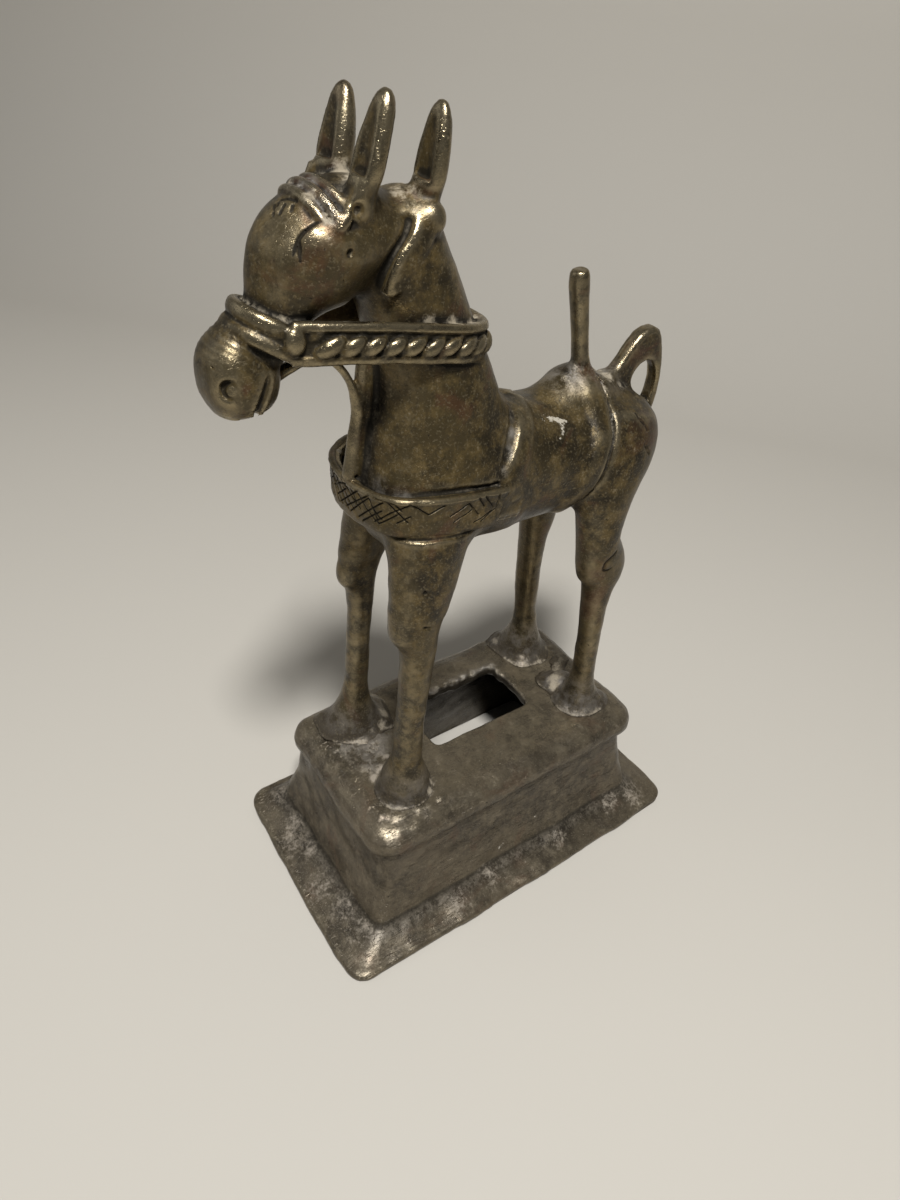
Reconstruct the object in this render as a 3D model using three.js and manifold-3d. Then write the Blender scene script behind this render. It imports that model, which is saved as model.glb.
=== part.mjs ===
// Cast brass horse in harness, standing on a hollow stepped plinth. Millimetres, +Z up.
// The horse faces -Y and its left side is +X. Stations are [x, y, z, half width, half depth].
import * as THREE from 'three';
import Module from 'manifold-3d';

// Plinth: a wide flange, a waist that leans in, and a slab with rounded edges.
const flangeLength = 155;
const flangeWidth = 97;
const flangeRim = 3;
const waistFoot = { x: 37.3, y: 62.5, z: 9.5 };
const waistHead = { x: 32.2, y: 57, z: 41 };
const slabHalf = { x: 35.5, y: 60.6 };
const slabFoot = 42;
const slabTop = 53;
const wall = 2.4;
// The long side on the horse's right stands in a little, at the flange and at the slab.
const rightSideIn = { flange: 2.4, slab: 1.4 };
// The flange's front corner on the same side stands back, so its front edge runs askew.
const cornerBack = 3;
// The rough hole in the slab, between the horse's feet.
const hole = { x: -3.5, y: 1.5, halfX: 11.5, halfY: 21.5, corner: 4 };

// Horse
const footGap = 0.3;
const footZ = slabTop + footGap;
const legX = 18;
const farForeLegGirth = 0.8;
const earHeight = 18;
const reinHeight = 9;
const reinThickness = 3.2;
const breastBandHeight = 11;
const breastBandThickness = 3.2;

// How many flat sides the round forms have.
const bodySides = 20;
const headSides = 18;
const legSides = 12;
const smallSides = 10;

const wasm = await Module();
wasm.setup();

// Joins rings of points into one closed skin. With loop, the last ring joins the first;
// without it, each end is closed by a fan on its middle.
function skin(rings, loop = false) {
  const sides = rings[0].length;
  const points = rings.flat();
  const faces = [];
  const bands = loop ? rings.length : rings.length - 1;
  for (let i = 0; i < bands; i += 1) {
    const a = i * sides;
    const b = ((i + 1) % rings.length) * sides;
    for (let j = 0; j < sides; j += 1) {
      const k = (j + 1) % sides;
      faces.push(a + j, a + k, b + k, a + j, b + k, b + j);
    }
  }
  if (!loop) {
    for (const start of [0, (rings.length - 1) * sides]) {
      const middle = new THREE.Vector3();
      for (let j = 0; j < sides; j += 1) middle.add(points[start + j]);
      const centre = points.push(middle.divideScalar(sides)) - 1;
      for (let j = 0; j < sides; j += 1) {
        const k = (j + 1) % sides;
        if (start === 0) faces.push(centre, start + k, start + j);
        else faces.push(centre, start + j, start + k);
      }
    }
  }
  return facingOut(new THREE.BufferGeometry().setFromPoints(points), faces);
}

// Gives the geometry its faces, turned round if they would face in.
function facingOut(geometry, faces) {
  const corner = (i) => new THREE.Vector3().fromBufferAttribute(geometry.attributes.position, i);
  let volume = 0;
  for (let i = 0; i < faces.length; i += 3) {
    const [a, b, c] = faces.slice(i, i + 3).map(corner);
    volume += a.dot(b.cross(c));
  }
  geometry.setIndex(volume < 0 ? [...faces].reverse() : faces);
  return geometry;
}

// An oval ring with half sizes along u and v, squarer as power rises above 2.
function oval(centre, u, v, halfU, halfV, power, sides) {
  const ring = [];
  for (let j = 0; j < sides; j += 1) {
    const turn = (j / sides) * 2 * Math.PI;
    const cos = Math.cos(turn);
    const sin = Math.sin(turn);
    const du = halfU * Math.sign(cos) * Math.abs(cos) ** (2 / power);
    const dv = halfV * Math.sign(sin) * Math.abs(sin) ** (2 / power);
    ring.push(centre.clone().addScaledVector(u, du).addScaledVector(v, dv));
  }
  return ring;
}

// The direction of a curve at t, by the parameter that counts its points evenly.
function directionAt(curve, t) {
  const step = 0.004;
  return curve.getPoint(Math.min(t + step, 1)).sub(curve.getPoint(Math.max(t - step, 0))).normalize();
}

// A round limb through stations, each section standing square to the line through them.
// across is the direction that half width is measured in.
function limb(stations, { sides = legSides, steps = 1, power = 2, across = [1, 0, 0] } = {}) {
  const line = new THREE.CatmullRomCurve3(stations.map(([x, y, z]) => new THREE.Vector3(x, y, z)));
  const sizes = stations.map(([, , , width, depth]) => new THREE.Vector3(width, depth, 0));
  const size = new THREE.CatmullRomCurve3(sizes, false, 'catmullrom');
  const count = (stations.length - 1) * steps;
  const rings = [];
  for (let i = 0; i <= count; i += 1) {
    const t = i / count;
    const along = directionAt(line, t);
    const u = new THREE.Vector3(...across);
    u.addScaledVector(along, -u.dot(along)).normalize();
    const v = new THREE.Vector3().crossVectors(along, u);
    const { x: halfU, y: halfV } = size.getPoint(t);
    rings.push(oval(line.getPoint(t), u, v, halfU, halfV, power, sides));
  }
  return skin(rings);
}

// A strap that follows a curve, its height along Z and its outer edges eased.
function strap(curve, count, height, thickness) {
  const h = height / 2;
  const w = thickness / 2;
  const ease = thickness * 0.35;
  const profile = [[w, ease - h], [w, h - ease], [w - ease, h], [-w, h], [-w, -h], [w - ease, -h]];
  const rings = [];
  for (let i = 0; i <= count; i += 1) {
    const t = i / count;
    const along = directionAt(curve, t);
    const out = new THREE.Vector3(along.y, -along.x, 0).normalize();
    const up = new THREE.Vector3().crossVectors(out, along);
    if (up.z < 0) up.negate();
    const at = curve.getPoint(t);
    rings.push(profile.map(([du, dv]) => at.clone().addScaledVector(out, du).addScaledVector(up, dv)));
  }
  return skin(rings);
}

// A curve that starts on the horse's left, passes the middle point and ends on its right.
function bothSides(left, middle) {
  const right = left.map(([x, y, z]) => [-x, y, z]).reverse();
  return new THREE.CatmullRomCurve3([...left, middle, ...right].map((p) => new THREE.Vector3(...p)));
}

function knob([x, y, z], [halfX, halfY, halfZ], tilt = 0, sides = smallSides) {
  const shape = new THREE.SphereGeometry(1, sides, Math.ceil(sides * 0.6));
  shape.scale(halfX, halfY, halfZ);
  shape.rotateX(tilt);
  shape.translate(x, y, z);
  return shape;
}

// A solid for joining and cutting, from a geometry whose shared corners are first made one.
function solidOf(geometry) {
  const { position } = geometry.attributes;
  const numbers = new Map();
  const corners = [];
  const indexOf = (i) => {
    const p = [position.getX(i), position.getY(i), position.getZ(i)].map((v) => Math.round(v * 1e4) / 1e4);
    const key = p.join();
    if (!numbers.has(key)) {
      numbers.set(key, corners.length / 3);
      corners.push(...p);
    }
    return numbers.get(key);
  };
  const all = Array.from(geometry.index.array, indexOf);
  const faces = [];
  for (let i = 0; i < all.length; i += 3) {
    const [a, b, c] = all.slice(i, i + 3);
    if (a !== b && b !== c && c !== a) faces.push(a, b, c);
  }
  return new wasm.Manifold(new wasm.Mesh({
    numProp: 3,
    vertProperties: new Float32Array(corners),
    triVerts: new Uint32Array(faces),
  }));
}

function geometryOf(solid) {
  const mesh = solid.getMesh();
  const geometry = new THREE.BufferGeometry();
  geometry.setAttribute('position', new THREE.BufferAttribute(new Float32Array(mesh.vertProperties), 3));
  geometry.setIndex(Array.from(mesh.triVerts));
  return geometry;
}

// A rounded rectangle of a fixed number of points, so that any two can be joined into a skin.
// bow pushes the middle of each side out.
function roundedRectangle(halfX, halfY, corner, z, { x = 0, y = 0, bow = 0 } = {}) {
  const perCorner = 3;
  const quadrants = [[1, 1], [-1, 1], [-1, -1], [1, -1]];
  const ring = [];
  quadrants.forEach(([signX, signY], q) => {
    for (let i = 0; i <= perCorner; i += 1) {
      const turn = (q + i / perCorner) * (Math.PI / 2);
      ring.push([
        signX * (halfX - corner) + corner * Math.cos(turn),
        signY * (halfY - corner) + corner * Math.sin(turn),
      ]);
    }
    const [nextX, nextY] = quadrants[(q + 1) % 4];
    const endSide = signY === nextY;
    const perSide = endSide ? 3 : 4;
    const [fromX, fromY] = ring[ring.length - 1];
    const toX = endSide ? nextX * (halfX - corner) : fromX;
    const toY = endSide ? fromY : nextY * (halfY - corner);
    for (let i = 1; i < perSide; i += 1) {
      const t = i / perSide;
      const out = bow * 4 * t * (1 - t);
      ring.push([
        THREE.MathUtils.lerp(fromX, toX, t) + (endSide ? 0 : signX * out),
        THREE.MathUtils.lerp(fromY, toY, t) + (endSide ? signY * out : 0),
      ]);
    }
  });
  return ring.map(([px, py]) => new THREE.Vector3(px + x, py + y, z));
}

// One open-bottomed shell: up the outside, over the slab, through the hole and down the inside.
function plinthGeometry() {
  const flange = (inset, corner, z) => {
    const halfX = (flangeWidth - rightSideIn.flange) / 2 - inset;
    const halfY = flangeLength / 2 - inset;
    const x = rightSideIn.flange / 2;
    const ring = roundedRectangle(halfX, halfY, corner, z, { x, bow: 0.8 });
    for (const point of ring) {
      const toFront = Math.max(0, -point.y / halfY);
      const toRight = 0.5 - (point.x - x) / (2 * halfX);
      point.y += cornerBack * toFront * toRight;
    }
    return ring;
  };
  const slab = (inset, corner, z) => roundedRectangle(
    slabHalf.x - rightSideIn.slab / 2 - inset, slabHalf.y - inset, corner, z,
    { x: rightSideIn.slab / 2, bow: 0.3 });
  const waist = ({ x, y }, inset, corner, z) => roundedRectangle(x - inset, y - inset, corner, z);
  const throat = (out, z) => roundedRectangle(hole.halfX + out, hole.halfY + out, hole.corner + out, z, hole);
  return skin([
    flange(0.6, 7, 0),
    flange(0, 7.5, 1),
    flange(0.6, 7.5, flangeRim),
    waist(waistFoot, -1.8, 5, waistFoot.z - 1.6),
    waist(waistFoot, 0, 5, waistFoot.z),
    waist(waistHead, -1.8, 5, 24),
    waist(waistHead, 0, 5.5, waistHead.z - 2.5),
    waist(waistHead, -0.6, 6, slabFoot - 0.6),
    slab(1.8, 8, slabFoot),
    slab(0.3, 9, slabFoot + 2.2),
    slab(0, 9.5, slabFoot + 4.6),
    slab(1.4, 9, slabTop - 3.4),
    slab(4.6, 7, slabTop - 1.1),
    slab(9.5, 5, slabTop),
    throat(1.4, slabTop),
    throat(0, slabTop - 0.8),
    throat(0.4, slabTop - 4.2),
    waist(waistHead, wall + 2, 5, slabTop - 4.6),
    waist(waistHead, wall, 4, slabTop - 7),
    waist(waistHead, wall, 4, waistHead.z - 2.5),
    waist(waistFoot, wall, 4, waistFoot.z - 1),
    flange(4.6, 5, 0),
  ], true);
}

function trunk() {
  return limb([
    [0, -36, 163, 13, 14],
    [0, -26, 165, 18, 18.5],
    [0, -16, 165, 19.2, 21.4],
    [0, -6, 163.4, 18.6, 21.2],
    [0, 5, 162, 18, 19.8],
    [0, 16, 161.6, 18, 19.2],
    [0, 27, 161.5, 18.6, 18.8],
    [0, 38, 161.5, 19.4, 18.2],
    [0, 47, 162, 18.6, 16.8],
    [0, 54, 162.5, 15, 13.4],
    [0, 58.5, 163, 8, 7.6],
    [0, 60, 163, 2, 2],
  ], { sides: bodySides, power: 2.2 });
}

function chestAndNeck() {
  return limb([
    [0, -33, 146, 9, 8],
    [0, -32.5, 150, 15.5, 14],
    [0, -31, 157, 19.6, 18.6],
    [0, -29, 167, 19.8, 20.6],
    [0, -26.8, 176, 18.4, 21.8],
    [0, -26.8, 185, 16.6, 20.6],
    [0, -27.8, 193, 15, 18],
    [0, -30, 201, 13.4, 15.8],
    [0, -32.6, 210, 12.2, 14.2],
    [0, -35.4, 219, 11.4, 12.8],
    [0, -38.4, 228, 10.4, 11.6],
    [0, -41, 234, 9, 9.8],
    [0, -42.5, 237.4, 5.5, 6.4],
  ], { sides: bodySides, power: 2.3 });
}

// From the nape over the domed forehead and down the nose into the muzzle.
function head() {
  return limb([
    [0, -43, 235.8, 4, 4.6],
    [0, -45.5, 235.2, 8.4, 8.6],
    [0, -50.5, 233.2, 11.2, 11.6],
    [0, -56.5, 230.6, 12, 12.8],
    [0, -62.2, 227, 11.8, 12.4],
    [0, -66, 222.8, 9.8, 10.2],
    [0, -68.8, 219, 8.2, 8.4],
    [0, -71.4, 215.2, 7.8, 8],
    [0, -74.2, 211.6, 7.6, 7.6],
    [0, -76.6, 208.4, 6, 6],
  ], { sides: headSides });
}

function muzzle() {
  return limb([
    [0, -75.6, 213.4, 5, 4.6],
    [0, -77.6, 211, 7.4, 7],
    [0, -78.9, 207.8, 8.9, 8.6],
    [0, -79.2, 204, 9.1, 8.6],
    [0, -79.1, 200.4, 8.5, 7.8],
    [0, -78.9, 197.2, 6.6, 6],
    [0, -78.8, 195.8, 3, 3],
  ], { sides: 12, power: 2.4 });
}

function lowerLip() {
  return limb([
    [0, -72.8, 209, 3, 1.6],
    [0, -72.6, 205.6, 6.2, 2.8],
    [0, -73.4, 201.4, 6.8, 3],
    [0, -74.8, 198, 5.2, 2.6],
    [0, -76, 196.4, 2, 1.4],
  ], { sides: 8 });
}

// Two fat rings round the nose; along runs down the nose from the ring's middle place.
function noseRing(along, radius, thickness) {
  const tilt = 0.34;
  const ring = new THREE.TorusGeometry(radius, thickness, 5, 14);
  ring.rotateX(tilt - Math.PI / 2);
  ring.translate(0, -72 - along * Math.sin(tilt), 212.4 - along * Math.cos(tilt));
  return ring;
}

// One ridge over the forehead; all three ridges meet in a point on each cheek.
function browRidge(crownY, crownZ) {
  const cheekY = -57.4;
  const cheekZ = 234.6;
  const halfArc = 1.45;
  const halfWidth = 12;
  const stations = [];
  for (let i = -4; i <= 4; i += 1) {
    const turn = (i / 4) * halfArc;
    const y = THREE.MathUtils.lerp(crownY, cheekY, (Math.abs(i) / 4) ** 1.5);
    const height = (Math.cos(turn) - Math.cos(halfArc)) / (1 - Math.cos(halfArc));
    stations.push([halfWidth * Math.sin(turn), y, THREE.MathUtils.lerp(cheekZ, crownZ, height), 1.1, 1.1]);
  }
  return limb(stations, { sides: 5, across: [0, 1, 0] });
}

// A leaf-shaped blade from foot to tip, hollowed down its front.
function blade(foot, tip, halfWidth, halfDepth) {
  const profile = [[-0.15, 0.7, 1], [0.05, 0.78, 0.95], [0.3, 1, 0.9], [0.55, 0.94, 0.8], [0.8, 0.62, 0.62],
    [0.94, 0.3, 0.4], [1, 0.08, 0.1]];
  const leaf = (scale, forward, sides) => limb(profile.map(([t, width, depth]) => [
    THREE.MathUtils.lerp(foot[0], tip[0], t),
    THREE.MathUtils.lerp(foot[1], tip[1], t) - forward,
    THREE.MathUtils.lerp(foot[2], tip[2], t),
    width * halfWidth * scale,
    depth * halfDepth * scale,
  ]), { sides });
  return solidOf(leaf(1, 0, 10)).subtract(solidOf(leaf(0.62, halfDepth * 0.73, 8)));
}

function ears() {
  const left = blade([8.4, -52.2, 241], [9.6, -46.6, 242.6 + earHeight], 4.1, 3);
  const right = blade([-8.6, -49.6, 241], [-9.6, -45.2, 241.4 + earHeight], 4.1, 3);
  return left.add(right);
}

// The third blade, which stands on the crest of the neck behind the ears.
function plume() {
  return blade([4, -32.2, 238], [6, -30, 239.8 + earHeight], 4.6, 2.8);
}

// The ridge that runs from the plume's foot down the side of the neck to the throat.
function neckRibbon(side) {
  return limb([
    [side * 6, -33, 236, 3, 2.6],
    [side * 9, -36.4, 232, 2.6, 2.6],
    [side * 10.2, -40.6, 226, 2.2, 2.6],
    [side * 9.6, -44.4, 220, 2.2, 2.6],
    [side * 8, -46.6, 215, 2, 2.4],
  ], { sides: 6 });
}

// The rein runs from the nose rings round the back of the neck, as one flat band.
const reinLine = bothSides([[8.6, -69, 213.6], [11.8, -58, 213], [13.6, -46, 211.6], [14.4, -34, 209.6],
  [13.4, -23.4, 207.6], [8.8, -16, 206]], [0, -13.4, 205.4]);

const breastLine = bothSides([[18.6, -6, 160.4], [20, -16, 162.2], [20.6, -28, 164], [18.4, -40, 165.2],
  [12, -47.6, 165.2]], [0, -50.2, 164.8]);

// A raised hoop round the trunk.
function hoop(y, z, halfX, halfZ, thickness, lean) {
  const ring = new THREE.TorusGeometry(halfZ, thickness, 5, 20);
  ring.scale(halfX / halfZ, 1, 1);
  ring.rotateX(Math.PI / 2 + lean);
  ring.translate(0, y, z);
  return ring;
}

function foreLeg(side, girth) {
  const x = side * legX;
  return limb([
    [side * 10, -31, 170, 7, 9],
    [side * 13, -32.6, 159, 8.4 * girth, 12.4 * girth],
    [side * 15, -34.2, 148, 8 * girth, 11.2 * girth],
    [side * 16.4, -35.8, 136, 7.2 * girth, 9.4 * girth],
    [side * 17.2, -37.2, 125, 6.4 * girth, 7.8 * girth],
    [side * 17.6, -37.8, 117, 6 * girth, 6.6 * girth],
    [x, -36.9, 110, 5.4 * girth, 5.4 * girth],
    [x, -37.2, 98, 5.2 * girth, 5.2 * girth],
    [x, -38.4, 80, 5.1 * girth, 5.1 * girth],
    [x, -39, 64, 5.4 * girth, 5.4 * girth],
    [x, -39.2, 59, 6.6, 6.8],
    [x, -39.4, footZ, 7.2, 7.6],
    [x, -39.4, footZ - 4, 7.2, 7.6],
  ]);
}

function hindLeg(side) {
  const x = side * legX;
  return limb([
    [side * 8, 43, 171, 8.6, 10.6],
    [side * 11.6, 40.4, 160, 9.8, 12.6],
    [side * 14.2, 38.4, 149, 9.2, 12],
    [side * 16.2, 36.2, 137, 7.8, 9],
    [side * 17.2, 36.8, 128, 6.6, 7.4],
    [side * 17.6, 38.2, 121, 6, 7.6],
    [side * 17.8, 37.8, 114, 5.4, 5.4],
    [x, 38.4, 102, 4.9, 4.6],
    [x, 39.6, 84, 4.5, 4.3],
    [x, 40.8, 68, 4.2, 4.2],
    [x, 41, 59, 5, 5],
    [x, 41, footZ, 7.4, 7.6],
    [x, 41, footZ - 4, 7.4, 7.6],
  ]);
}

// The tail arches up and back down on to the rump, with an open loop inside it.
function tail() {
  return limb([
    [0, 42, 174, 4.5, 5],
    [0, 43.6, 182, 4.2, 4.4],
    [0, 47, 189, 3.8, 3.9],
    [0, 52, 192.6, 3.4, 3.4],
    [0, 57.4, 191.4, 3.2, 2.8],
    [0, 60.6, 185, 3, 2.5],
    [0, 60.6, 176, 3, 2.3],
    [0, 58.6, 166, 2.6, 2.3],
  ], { sides: 10, steps: 2 });
}

// The plain rod that stands on the back.
function peg() {
  return limb([
    [0, 30, 176, 5, 6],
    [0, 29.3, 185, 3.4, 3.6],
    [0, 28.4, 190, 2.6, 2.6],
    [0, 25.5, 202, 2.5, 2.5],
    [0, 23.4, 212, 2.7, 2.7],
    [0, 22.7, 215.2, 2.3, 2.3],
    [0, 22.5, 216.3, 1, 1],
  ], { sides: 10 });
}

function horseGeometry() {
  const sides = [1, -1];
  const forms = [
    trunk(),
    chestAndNeck(),
    head(),
    muzzle(),
    lowerLip(),
    foreLeg(1, 1),
    foreLeg(-1, farForeLegGirth),
    ...sides.map(hindLeg),
    tail(),
    knob([0, 27, 178.6], [11, 17, 7.2], 0, 12), // mound that carries the rod
    peg(),
    ...sides.map(neckRibbon),
    knob([7, -34, 235], [3.4, 3.4, 3.6]), // boss at the plume's foot
    noseRing(-1.7, 8.8, 1.9),
    noseRing(1.8, 8.6, 1.6),
    ...sides.map((side) => knob([side * 9.4, -69.4, 213.6], [2.4, 2.4, 2.4], 0, 8)), // rein buttons
    ...sides.map((side) => knob([side * 8.6, -57.4, 231.4], [4.4, 8, 4.6], -0.3)), // rolls under the eyes
    browRidge(-63.8, 241.5),
    browRidge(-60.6, 243.1),
    browRidge(-57.4, 244),
    strap(reinLine, 20, reinHeight, reinThickness),
    strap(breastLine, 18, breastBandHeight, breastBandThickness),
    hoop(-6, 163.4, 18.8, 21.2, 1.3, 0.05),
    hoop(29, 161.5, 19, 19, 1.6, -0.1),
  ].map(solidOf);
  const ground = new THREE.BoxGeometry(flangeWidth, flangeLength, footZ);
  ground.translate(0, 0, footZ / 2);
  const casting = [...forms, ears(), plume()].reduce((whole, form) => whole.add(form)).subtract(solidOf(ground));
  // Only the outer skin is kept: pockets shut inside the casting are filled.
  const [outer] = casting.decompose().sort((a, b) => b.volume() - a.volume());
  return geometryOf(outer);
}

function named(name, geometry, color, roughness) {
  const mesh = new THREE.Mesh(geometry, new THREE.MeshStandardMaterial({ color, roughness, metalness: 1 }));
  mesh.name = name;
  return mesh;
}

const figure = new THREE.Group();
figure.add(named('plinth', plinthGeometry(), 0x5e5542, 0.5));
figure.add(named('horse', horseGeometry(), 0x5a4e35, 0.42));

// The origin is the middle of the whole figure's outline, at the height of the plinth's underside.
const outline = new THREE.Box3().setFromObject(figure);
const middle = outline.getCenter(new THREE.Vector3());
figure.position.set(-middle.x, -middle.y, 0);

export default figure;
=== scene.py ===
import math
import time

import bpy
import numpy as np
from mathutils import Matrix, Vector


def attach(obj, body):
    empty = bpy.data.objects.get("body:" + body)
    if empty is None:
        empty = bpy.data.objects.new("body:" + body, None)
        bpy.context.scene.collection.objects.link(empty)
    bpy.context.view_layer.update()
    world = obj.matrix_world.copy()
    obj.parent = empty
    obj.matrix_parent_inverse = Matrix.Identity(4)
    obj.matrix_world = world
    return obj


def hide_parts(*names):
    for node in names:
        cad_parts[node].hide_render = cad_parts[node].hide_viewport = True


# An old cast brass horse in harness on its hollow plinth, with its dust, solder and wear left as they are.
# Shapes are given in millimetres around the plinth's middle; shift moves them into the frame.
startTime = time.time()
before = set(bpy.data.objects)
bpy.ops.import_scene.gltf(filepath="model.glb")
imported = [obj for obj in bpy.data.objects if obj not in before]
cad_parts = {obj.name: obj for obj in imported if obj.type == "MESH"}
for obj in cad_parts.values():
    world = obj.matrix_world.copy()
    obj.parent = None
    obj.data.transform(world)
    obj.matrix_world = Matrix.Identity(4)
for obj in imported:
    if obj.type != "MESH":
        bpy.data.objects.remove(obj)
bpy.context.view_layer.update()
shift = np.array([-1.2, 4.793, 0.0])
feet = [(18, -40), (-18, -40), (-19, 42), (17, 42)]  # the middle of the solder round each foot
slabLevel = 53.05  # the horse's mesh is cut flat here, just clear of the slab


def say(text):
    print(f"{time.time() - startTime:6.1f} s  {text}")


def hexColour(code):
    # sRGB hex to linear RGBA
    parts = [int(code[i:i + 2], 16) / 255 for i in (1, 3, 5)]
    return [c / 12.92 if c <= 0.04045 else ((c + 0.055) / 1.055) ** 2.4 for c in parts] + [1.0]


# The horse is modelled as a solid field on a grid: negative inside the metal, positive outside, in mm.
fieldGrid = {"step": 0.42, "low": (-29.0, -92.0, 51.5), "high": (29.0, 67.0, 263.0), "far": 4.0, "triangles": 196000}
gridLow = np.array(fieldGrid["low"])
gridStep = fieldGrid["step"]
gridAxes = [np.arange(a, b, gridStep, dtype=np.float32) for a, b in zip(fieldGrid["low"], fieldGrid["high"])]
metal = np.full([len(axis) for axis in gridAxes], fieldGrid["far"], np.float32)


def spline(rows, steps):
    # a smooth curve through rows of numbers
    rows = np.array(rows, float)
    rows = np.vstack([2 * rows[0] - rows[1], rows, 2 * rows[-1] - rows[-2]])
    out = []
    for i in range(1, len(rows) - 2):
        a, b, c, d = rows[i - 1:i + 3]
        for t in np.arange(steps) / steps:
            out.append(0.5 * (2 * b + (c - a) * t + (2 * a - 5 * b + 4 * c - d) * t ** 2
                              + (3 * b - a - 3 * c + d) * t ** 3))
    out.append(rows[-2])
    return np.array(out)


def unit(rows):
    return rows / (np.linalg.norm(rows, axis=-1, keepdims=True) + 1e-9)


def hump(values, middle, width):
    # 1 at the middle, falling off smoothly on both sides
    return np.exp(-((values - middle) / width) ** 2)


def window(low, high):
    # grid slices that cover a box
    return tuple(slice(max(0, int((a - o) / gridStep)), min(len(axis), int((b - o) / gridStep) + 2))
                 for a, b, o, axis in zip(low, high, gridLow, gridAxes))


def limb(stations, power=2.0, across=(1, 0, 0), steps=4, reach=4.0, relief=None):
    # an oval limb through stations [x, y, z, half width, half depth]; across None lays it flat like a strap
    rows = spline(stations, steps)
    centres = rows[:, :3]
    sizes = np.maximum(rows[:, 3:5], 0.2)
    size = sizes.max(1, keepdims=True) + reach
    area = window((centres - size).min(0), (centres + size).max(0))
    piece = np.full([s.stop - s.start for s in area], fieldGrid["far"], np.float32)
    travelled = 0.0
    for i in range(len(rows) - 1):
        a, b = centres[i], centres[i + 1]
        length = np.linalg.norm(b - a)
        if length < 1e-6:
            continue
        along = (b - a) / length
        u = np.array([along[1], -along[0], 0.0]) if across is None else np.array(across, float)
        u = unit(u - u.dot(along) * along)
        v = np.cross(along, u)
        pad = max(size[i, 0], size[i + 1, 0])
        local = window(np.minimum(a, b) - pad, np.maximum(a, b) + pad)
        local = tuple(slice(max(s.start, o.start), min(s.stop, o.stop)) for s, o in zip(local, area))
        if any(s.stop <= s.start for s in local):
            continue
        x, y, z = np.ix_(*[axis[s] for axis, s in zip(gridAxes, local)])
        x, y, z = x - np.float32(a[0]), y - np.float32(a[1]), z - np.float32(a[2])
        w, pu, pv = [x * np.float32(d[0]) + y * np.float32(d[1]) + z * np.float32(d[2]) for d in (along, u, v)]
        t = np.clip(w / length, 0, 1)
        beyond = np.maximum(np.abs(w - t * length) - 0.35, 0)
        halfU = sizes[i, 0] + (sizes[i + 1, 0] - sizes[i, 0]) * t
        halfV = sizes[i, 1] + (sizes[i + 1, 1] - sizes[i, 1]) * t
        if power == 2.0:
            ratio = np.sqrt((pu / halfU) ** 2 + (pv / halfV) ** 2)
        else:
            ratio = (np.abs(pu / halfU) ** power + np.abs(pv / halfV) ** power) ** (1 / power)
        away = np.sqrt(pu ** 2 + pv ** 2)
        distance = away - away / np.maximum(ratio, 0.02)
        if relief is not None:
            distance = distance - relief(travelled + t * length, pu, pv if v[2] > 0 else -pv)
        distance = np.where(beyond > 0, np.hypot(np.maximum(distance, 0), beyond), distance)
        spot = tuple(slice(s.start - o.start, s.stop - o.start) for s, o in zip(local, area))
        np.minimum(piece[spot], distance, out=piece[spot])
        travelled += length
    return area, piece


def add(form, blend=1.0):
    # joins a form to the metal with a fillet
    area, piece = form
    here = metal[area]
    h = np.clip(0.5 + 0.5 * (here - piece) / blend, 0, 1)
    metal[area] = here + (piece - here) * h - blend * h * (1 - h)


def carve(form, blend=0.4):
    # cuts a form out of the metal
    area, piece = form
    here = metal[area]
    h = np.clip(0.5 - 0.5 * (here + piece) / blend, 0, 1)
    metal[area] = here * (1 - h) - piece * h + blend * h * (1 - h)


def ball(centre, halves, tilt=0.0, reach=4.0):
    cx, cy, cz = centre
    size = max(halves) + reach
    area = window(np.array(centre) - size, np.array(centre) + size)
    x, y, z = np.ix_(*[axis[s] for axis, s in zip(gridAxes, area)])
    x, y, z = x - cx, y - cy, z - cz
    y, z = y * math.cos(tilt) + z * math.sin(tilt), z * math.cos(tilt) - y * math.sin(tilt)
    ratio = np.sqrt((x / halves[0]) ** 2 + (y / halves[1]) ** 2 + (z / halves[2]) ** 2)
    away = np.sqrt(x ** 2 + y ** 2 + z ** 2)
    return area, (away - away / np.maximum(ratio, 0.02)).astype(np.float32)


def wire(points, thick, steps=3):
    # a round wire or a tool stroke through points; thick is one half thickness or one for each point
    thick = np.broadcast_to(thick, len(points))
    return limb([[*p, r, r] for p, r in zip(points, thick)], steps=steps, reach=2.0)


def settled(points):
    # moves points along the field's slope on to the metal's surface
    out = []
    for p in np.array(points, float):
        for _ in range(4):
            cell = [round((v - o) / gridStep) for v, o in zip(p, gridLow)]
            i, j, k = [int(np.clip(c, 1, len(axis) - 2)) for c, axis in zip(cell, gridAxes)]
            slope = np.array([metal[i + 1, j, k] - metal[i - 1, j, k], metal[i, j + 1, k] - metal[i, j - 1, k],
                              metal[i, j, k + 1] - metal[i, j, k - 1]]) / (2 * gridStep)
            p = p - slope / max(np.linalg.norm(slope), 0.3) * float(metal[i, j, k]) * 0.8
        out.append(p)
    return np.array(out)


def alongAxis(values, axis):
    # a row of values set along one axis of the grid
    shape = [1, 1, 1]
    shape[axis] = -1
    return np.reshape(values, shape)


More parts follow.
